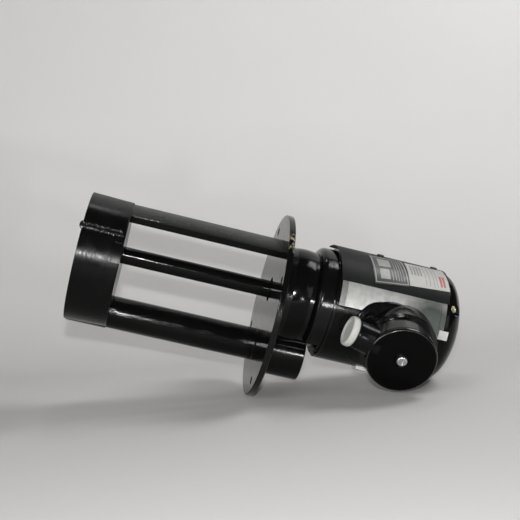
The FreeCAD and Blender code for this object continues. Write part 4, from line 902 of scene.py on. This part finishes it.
def fields(name, bars, lift, thickness, place, finish_name, slot):
    """Thin raised bars of one finish on a plate, each given by its two corners in millimetres."""
    parts = []
    for x0, x1, y0, y1 in np.array(bars) * MM:
        across, along = np.meshgrid(np.linspace(x0, x1, 9), np.linspace(y0, y1, 5), indexing="ij")
        points, faces = slab(*(wrapped(across, along, r, *place) for r in (lift + thickness, lift)))
        parts.append((points, outward(points, faces)))
    mesh_object(name, *joined(parts), finish(finish_name), slot=slot)


def border(half_w, half_h, line):
    """Four bars of a border, as corners."""
    return [(-half_w, half_w, half_h - line, half_h), (-half_w, half_w, -half_h, line - half_h),
            (-half_w, line - half_w, -half_h, half_h), (half_w - line, half_w, -half_h, half_h)]


class PlateFields(bpy.types.Operator):
    """Adds the border, ruled lines and blank fields of the name plate and the label"""

    bl_idname = "pump.plate_fields"
    bl_label = "Blank plate fields"

    def execute(self, context):
        settings = context.scene.pump_motor
        place = (settings.plate_angle, box_middle("nameplate").z, settings.plate_skew)
        bars = border(15.9, 13.6, 0.9) + [(-12.0, -1.5, -9.0, 1.5), (1.5, 12.0, -9.0, -1.0)]
        bars += [(-12.5, 12.5, y, y + 0.5) for y in (3.6, 5.8, 8.0, 10.2)] + [(1.5, 12.5, 1.0, 1.5)]
        fields("nameplate_fields", bars, 0.44 * MM, 0.09 * MM, place, "plate_line", "plate_black")
        place = (settings.label_angle, box_middle("blank_label").z, settings.label_skew)
        ink = 0.24 * MM, 0.06 * MM
        grey = [(-10.5, 3.0, y, y + 1.5) for y in (-14.0, -11.4, -8.8, -6.2)]
        grey += [(-13.0, 13.0, y, y + 0.5) for y in (-2.6, 0.6, 4.2, 6.8)]
        fields("label_grey_fields", grey, *ink, place, "label_grey", "label_white")
        red = [(-1.0, 12.0, y, y + 1.9) for y in (9.4, 12.0)]
        fields("label_red_fields", red, *ink, place, "label_red", "label_white")
        return {"FINISHED"}


# Studio

# The camera's place and directions, fitted to the flange, the casing, the box cover and the motor.
CAMERA_AT = (-0.350877, -0.688635, -0.101442)
CAMERA_RIGHT = (-0.25612, -0.005629, 0.966628)
CAMERA_DOWN = (0.874651, -0.427112, 0.229263)
CAMERA_AHEAD = (0.411568, 0.904181, 0.114315)
FLOOR_DOWN = Vector((0.887, -0.346, 0.305)).normalized()
FLOOR_DROP = 73.2 * MM
WALL_BEND = 0.25
WALL_START = 0.14


def studio_axes():
    """Sideways, away and upward directions of the table on which the pump lies."""
    up = -FLOOR_DOWN
    away = Vector(CAMERA_AHEAD)
    away = (away - up * away.dot(up)).normalized()
    return away.cross(up).normalized(), away, up


class Studio(bpy.types.Operator):
    """Sets the paper sweep, the lamps, the surroundings and the camera"""

    bl_idname = "pump.studio"
    bl_label = "Studio"

    def execute(self, context):
        settings = context.scene.pump_studio
        paper_sweep(settings)
        soft_lamp("near_lamp", (-0.408, -0.681, -0.117), (0.0, 0.0, -0.02), (0.016, 0.016), 3900.0)
        soft_lamp("right_lamp", (-0.246, -0.589, 0.147), (-0.03, -0.04, 0.045), (0.04, 0.035), 110.0)
        soft_lamp("overhead_lamp", (-0.80, 0.37, 0.38), (0.0, 0.0, 0.0), (0.36, 0.30), 9.5)
        soft_lamp("rim_lamp", (-0.749, 0.529, -0.187), (0.0, 0.0, -0.14), (0.10, 0.04), 28.0)
        soft_lamp("left_lamp", (-0.26, -0.62, -0.76), (0.0, 0.0, 0.0), (0.60, 0.60), 3.0)
        soft_lamp("right_fill", (-0.70, -0.74, 0.64), (0.0, 0.0, 0.0), (0.50, 0.50), 2.0)
        surroundings(settings.world)
        set_camera(settings.lens)
        view = context.scene.view_settings
        view.view_transform = "Standard"
        return {"FINISHED"}


def paper_sweep(settings):
    """Floor that bends up into a wall: a straight run, a quarter circle and a rise, carried sideways."""
    bend = np.linspace(0, np.pi / 2, 20)
    away = WALL_START + WALL_BEND * np.concatenate([np.sin(bend), [1.0]])
    away = np.concatenate([[-1.1, WALL_START], away])
    up = np.concatenate([[0, 0], WALL_BEND * (1 - np.cos(bend)), [1.5]])
    side = np.linspace(-0.55, 0.55, 5)
    s, a, u = (np.array(v) for v in studio_axes())
    corner = np.array(FLOOR_DOWN * FLOOR_DROP)
    points = corner + side[:, None, None] * s + away[None, :, None] * a + up[None, :, None] * u
    faces = grid_faces(len(side), len(away))
    floor = mesh_object("paper_sweep", points, faces, paper(tuple(settings.floor)), body=None)
    normal = floor.data.polygons[0].normal
    if normal.dot(studio_axes()[2]) < 0:
        floor.data.flip_normals()


def paper(colour):
    """Matt paper that can be seen through from behind, with painted shade: darker on the floor and lighter up
    the wall.
    """
    material, tree, shader, where = blank_material("backdrop_paper")
    grain = noise(tree, where, 6.0, 3.0)
    height = node(tree, "ShaderNodeVectorMath", {"operation": "DOT_PRODUCT"}, i0=where, i1=tuple(-FLOOR_DOWN))
    # Painted shade: the paper's colour is darker on the floor and lighter up the wall, standing in for the
    # light's falloff.
    rise = mapped(tree, height.outputs["Value"], -FLOOR_DROP, WALL_BEND - FLOOR_DROP, 0.0, 1.0)
    painted_falloff = mixed(tree, rise, shade(colour, 0.84), shade(colour, 1.08))
    coat = mixed(tree, mapped(tree, grain, 0.3, 0.7, 0.0, 0.04), painted_falloff, PAPER_GRAIN)
    tree.links.new(coat, shader.inputs["Base Color"])
    shader.inputs["Roughness"].default_value = 0.9
    shader.inputs["Specular IOR Level"].default_value = 0.1
    clear = tree.nodes.new("ShaderNodeBsdfTransparent")
    behind = tree.nodes.new("ShaderNodeNewGeometry").outputs["Backfacing"]
    mix = tree.nodes.new("ShaderNodeMixShader")
    tree.links.new(behind, mix.inputs[0])
    tree.links.new(shader.outputs[0], mix.inputs[1])
    tree.links.new(clear.outputs[0], mix.inputs[2])
    tree.links.new(mix.outputs[0], tree.nodes["Material Output"].inputs["Surface"])
    return material


def soft_lamp(name, place, aim, size, brightness):
    """Rectangular lamp turned to a point of the pump; its power gives the wanted brightness of its face."""
    lamp = bpy.data.lights.new(name, "AREA")
    lamp.shape = "RECTANGLE"
    lamp.size, lamp.size_y = size
    lamp.energy = brightness * size[0] * size[1] * math.pi
    obj = bpy.data.objects.new(name, lamp)
    bpy.context.scene.collection.objects.link(obj)
    at = Vector(place)
    toward = (Vector(aim) - at).normalized()
    side = studio_axes()[0]
    side = (side - toward * side.dot(toward)).normalized()
    over = (-toward).cross(side)
    turn = Matrix((side, over, -toward)).transposed()
    obj.matrix_world = Matrix.Translation(at) @ turn.to_4x4()


def surroundings(strength):
    """Even white light from all sides."""
    world = bpy.data.worlds.new("surroundings")
    bpy.context.scene.world = world
    world.use_nodes = True
    back = world.node_tree.nodes["Background"]
    back.inputs["Color"].default_value = (1.0, 1.0, 1.0, 1.0)
    back.inputs["Strength"].default_value = strength


def set_camera(lens):
    """The camera, at the photograph's angle."""
    data = bpy.data.cameras.new("camera")
    data.sensor_width = 36.0
    data.lens = lens
    data.clip_start, data.clip_end = 0.01, 20.0
    camera = bpy.data.objects.new("camera", data)
    bpy.context.scene.collection.objects.link(camera)
    turn = Matrix((Vector(CAMERA_RIGHT), -Vector(CAMERA_DOWN), -Vector(CAMERA_AHEAD))).transposed()
    camera.matrix_world = Matrix.Translation(Vector(CAMERA_AT)) @ turn.to_4x4()
    bpy.context.scene.camera = camera


class PumpPanel(bpy.types.Panel):
    """Lists the steps and their sizes"""

    bl_idname = "PUMP_PT_steps"
    bl_label = "Immersion pump"
    bl_space_type = "VIEW_3D"
    bl_region_type = "UI"
    bl_category = "Pump"

    def draw(self, context):
        for group in SETTINGS:
            settings = getattr(context.scene, group)
            for name in settings.__annotations__:
                self.layout.prop(settings, name)
        for step in STEPS:
            self.layout.operator(step.bl_idname)


SETTINGS = {
    "pump_paints": PumpPaints,
    "pump_casing": PumpCasing,
    "pump_motor": PumpMotor,
    "pump_box": PumpBox,
    "pump_studio": PumpStudio,
}
STEPS = [PaintParts, CasingBead, PipeFillets, NeckBand, SideSheet, BoxSaddle, BoxCover, EntryPlug,
         PlateFields, Studio]


def register():
    for kind in (*SETTINGS.values(), *STEPS, PumpPanel):
        bpy.utils.register_class(kind)
    for name, kind in SETTINGS.items():
        setattr(bpy.types.Scene, name, bpy.props.PointerProperty(type=kind))


def unregister():
    for name in SETTINGS:
        delattr(bpy.types.Scene, name)
    for kind in (PumpPanel, *reversed(STEPS), *SETTINGS.values()):
        bpy.utils.unregister_class(kind)


def main():
    register()
    for step in STEPS:
        family, action = step.bl_idname.split(".")
        getattr(getattr(bpy.ops, family), action)()


if __name__ == "__main__":
    main()
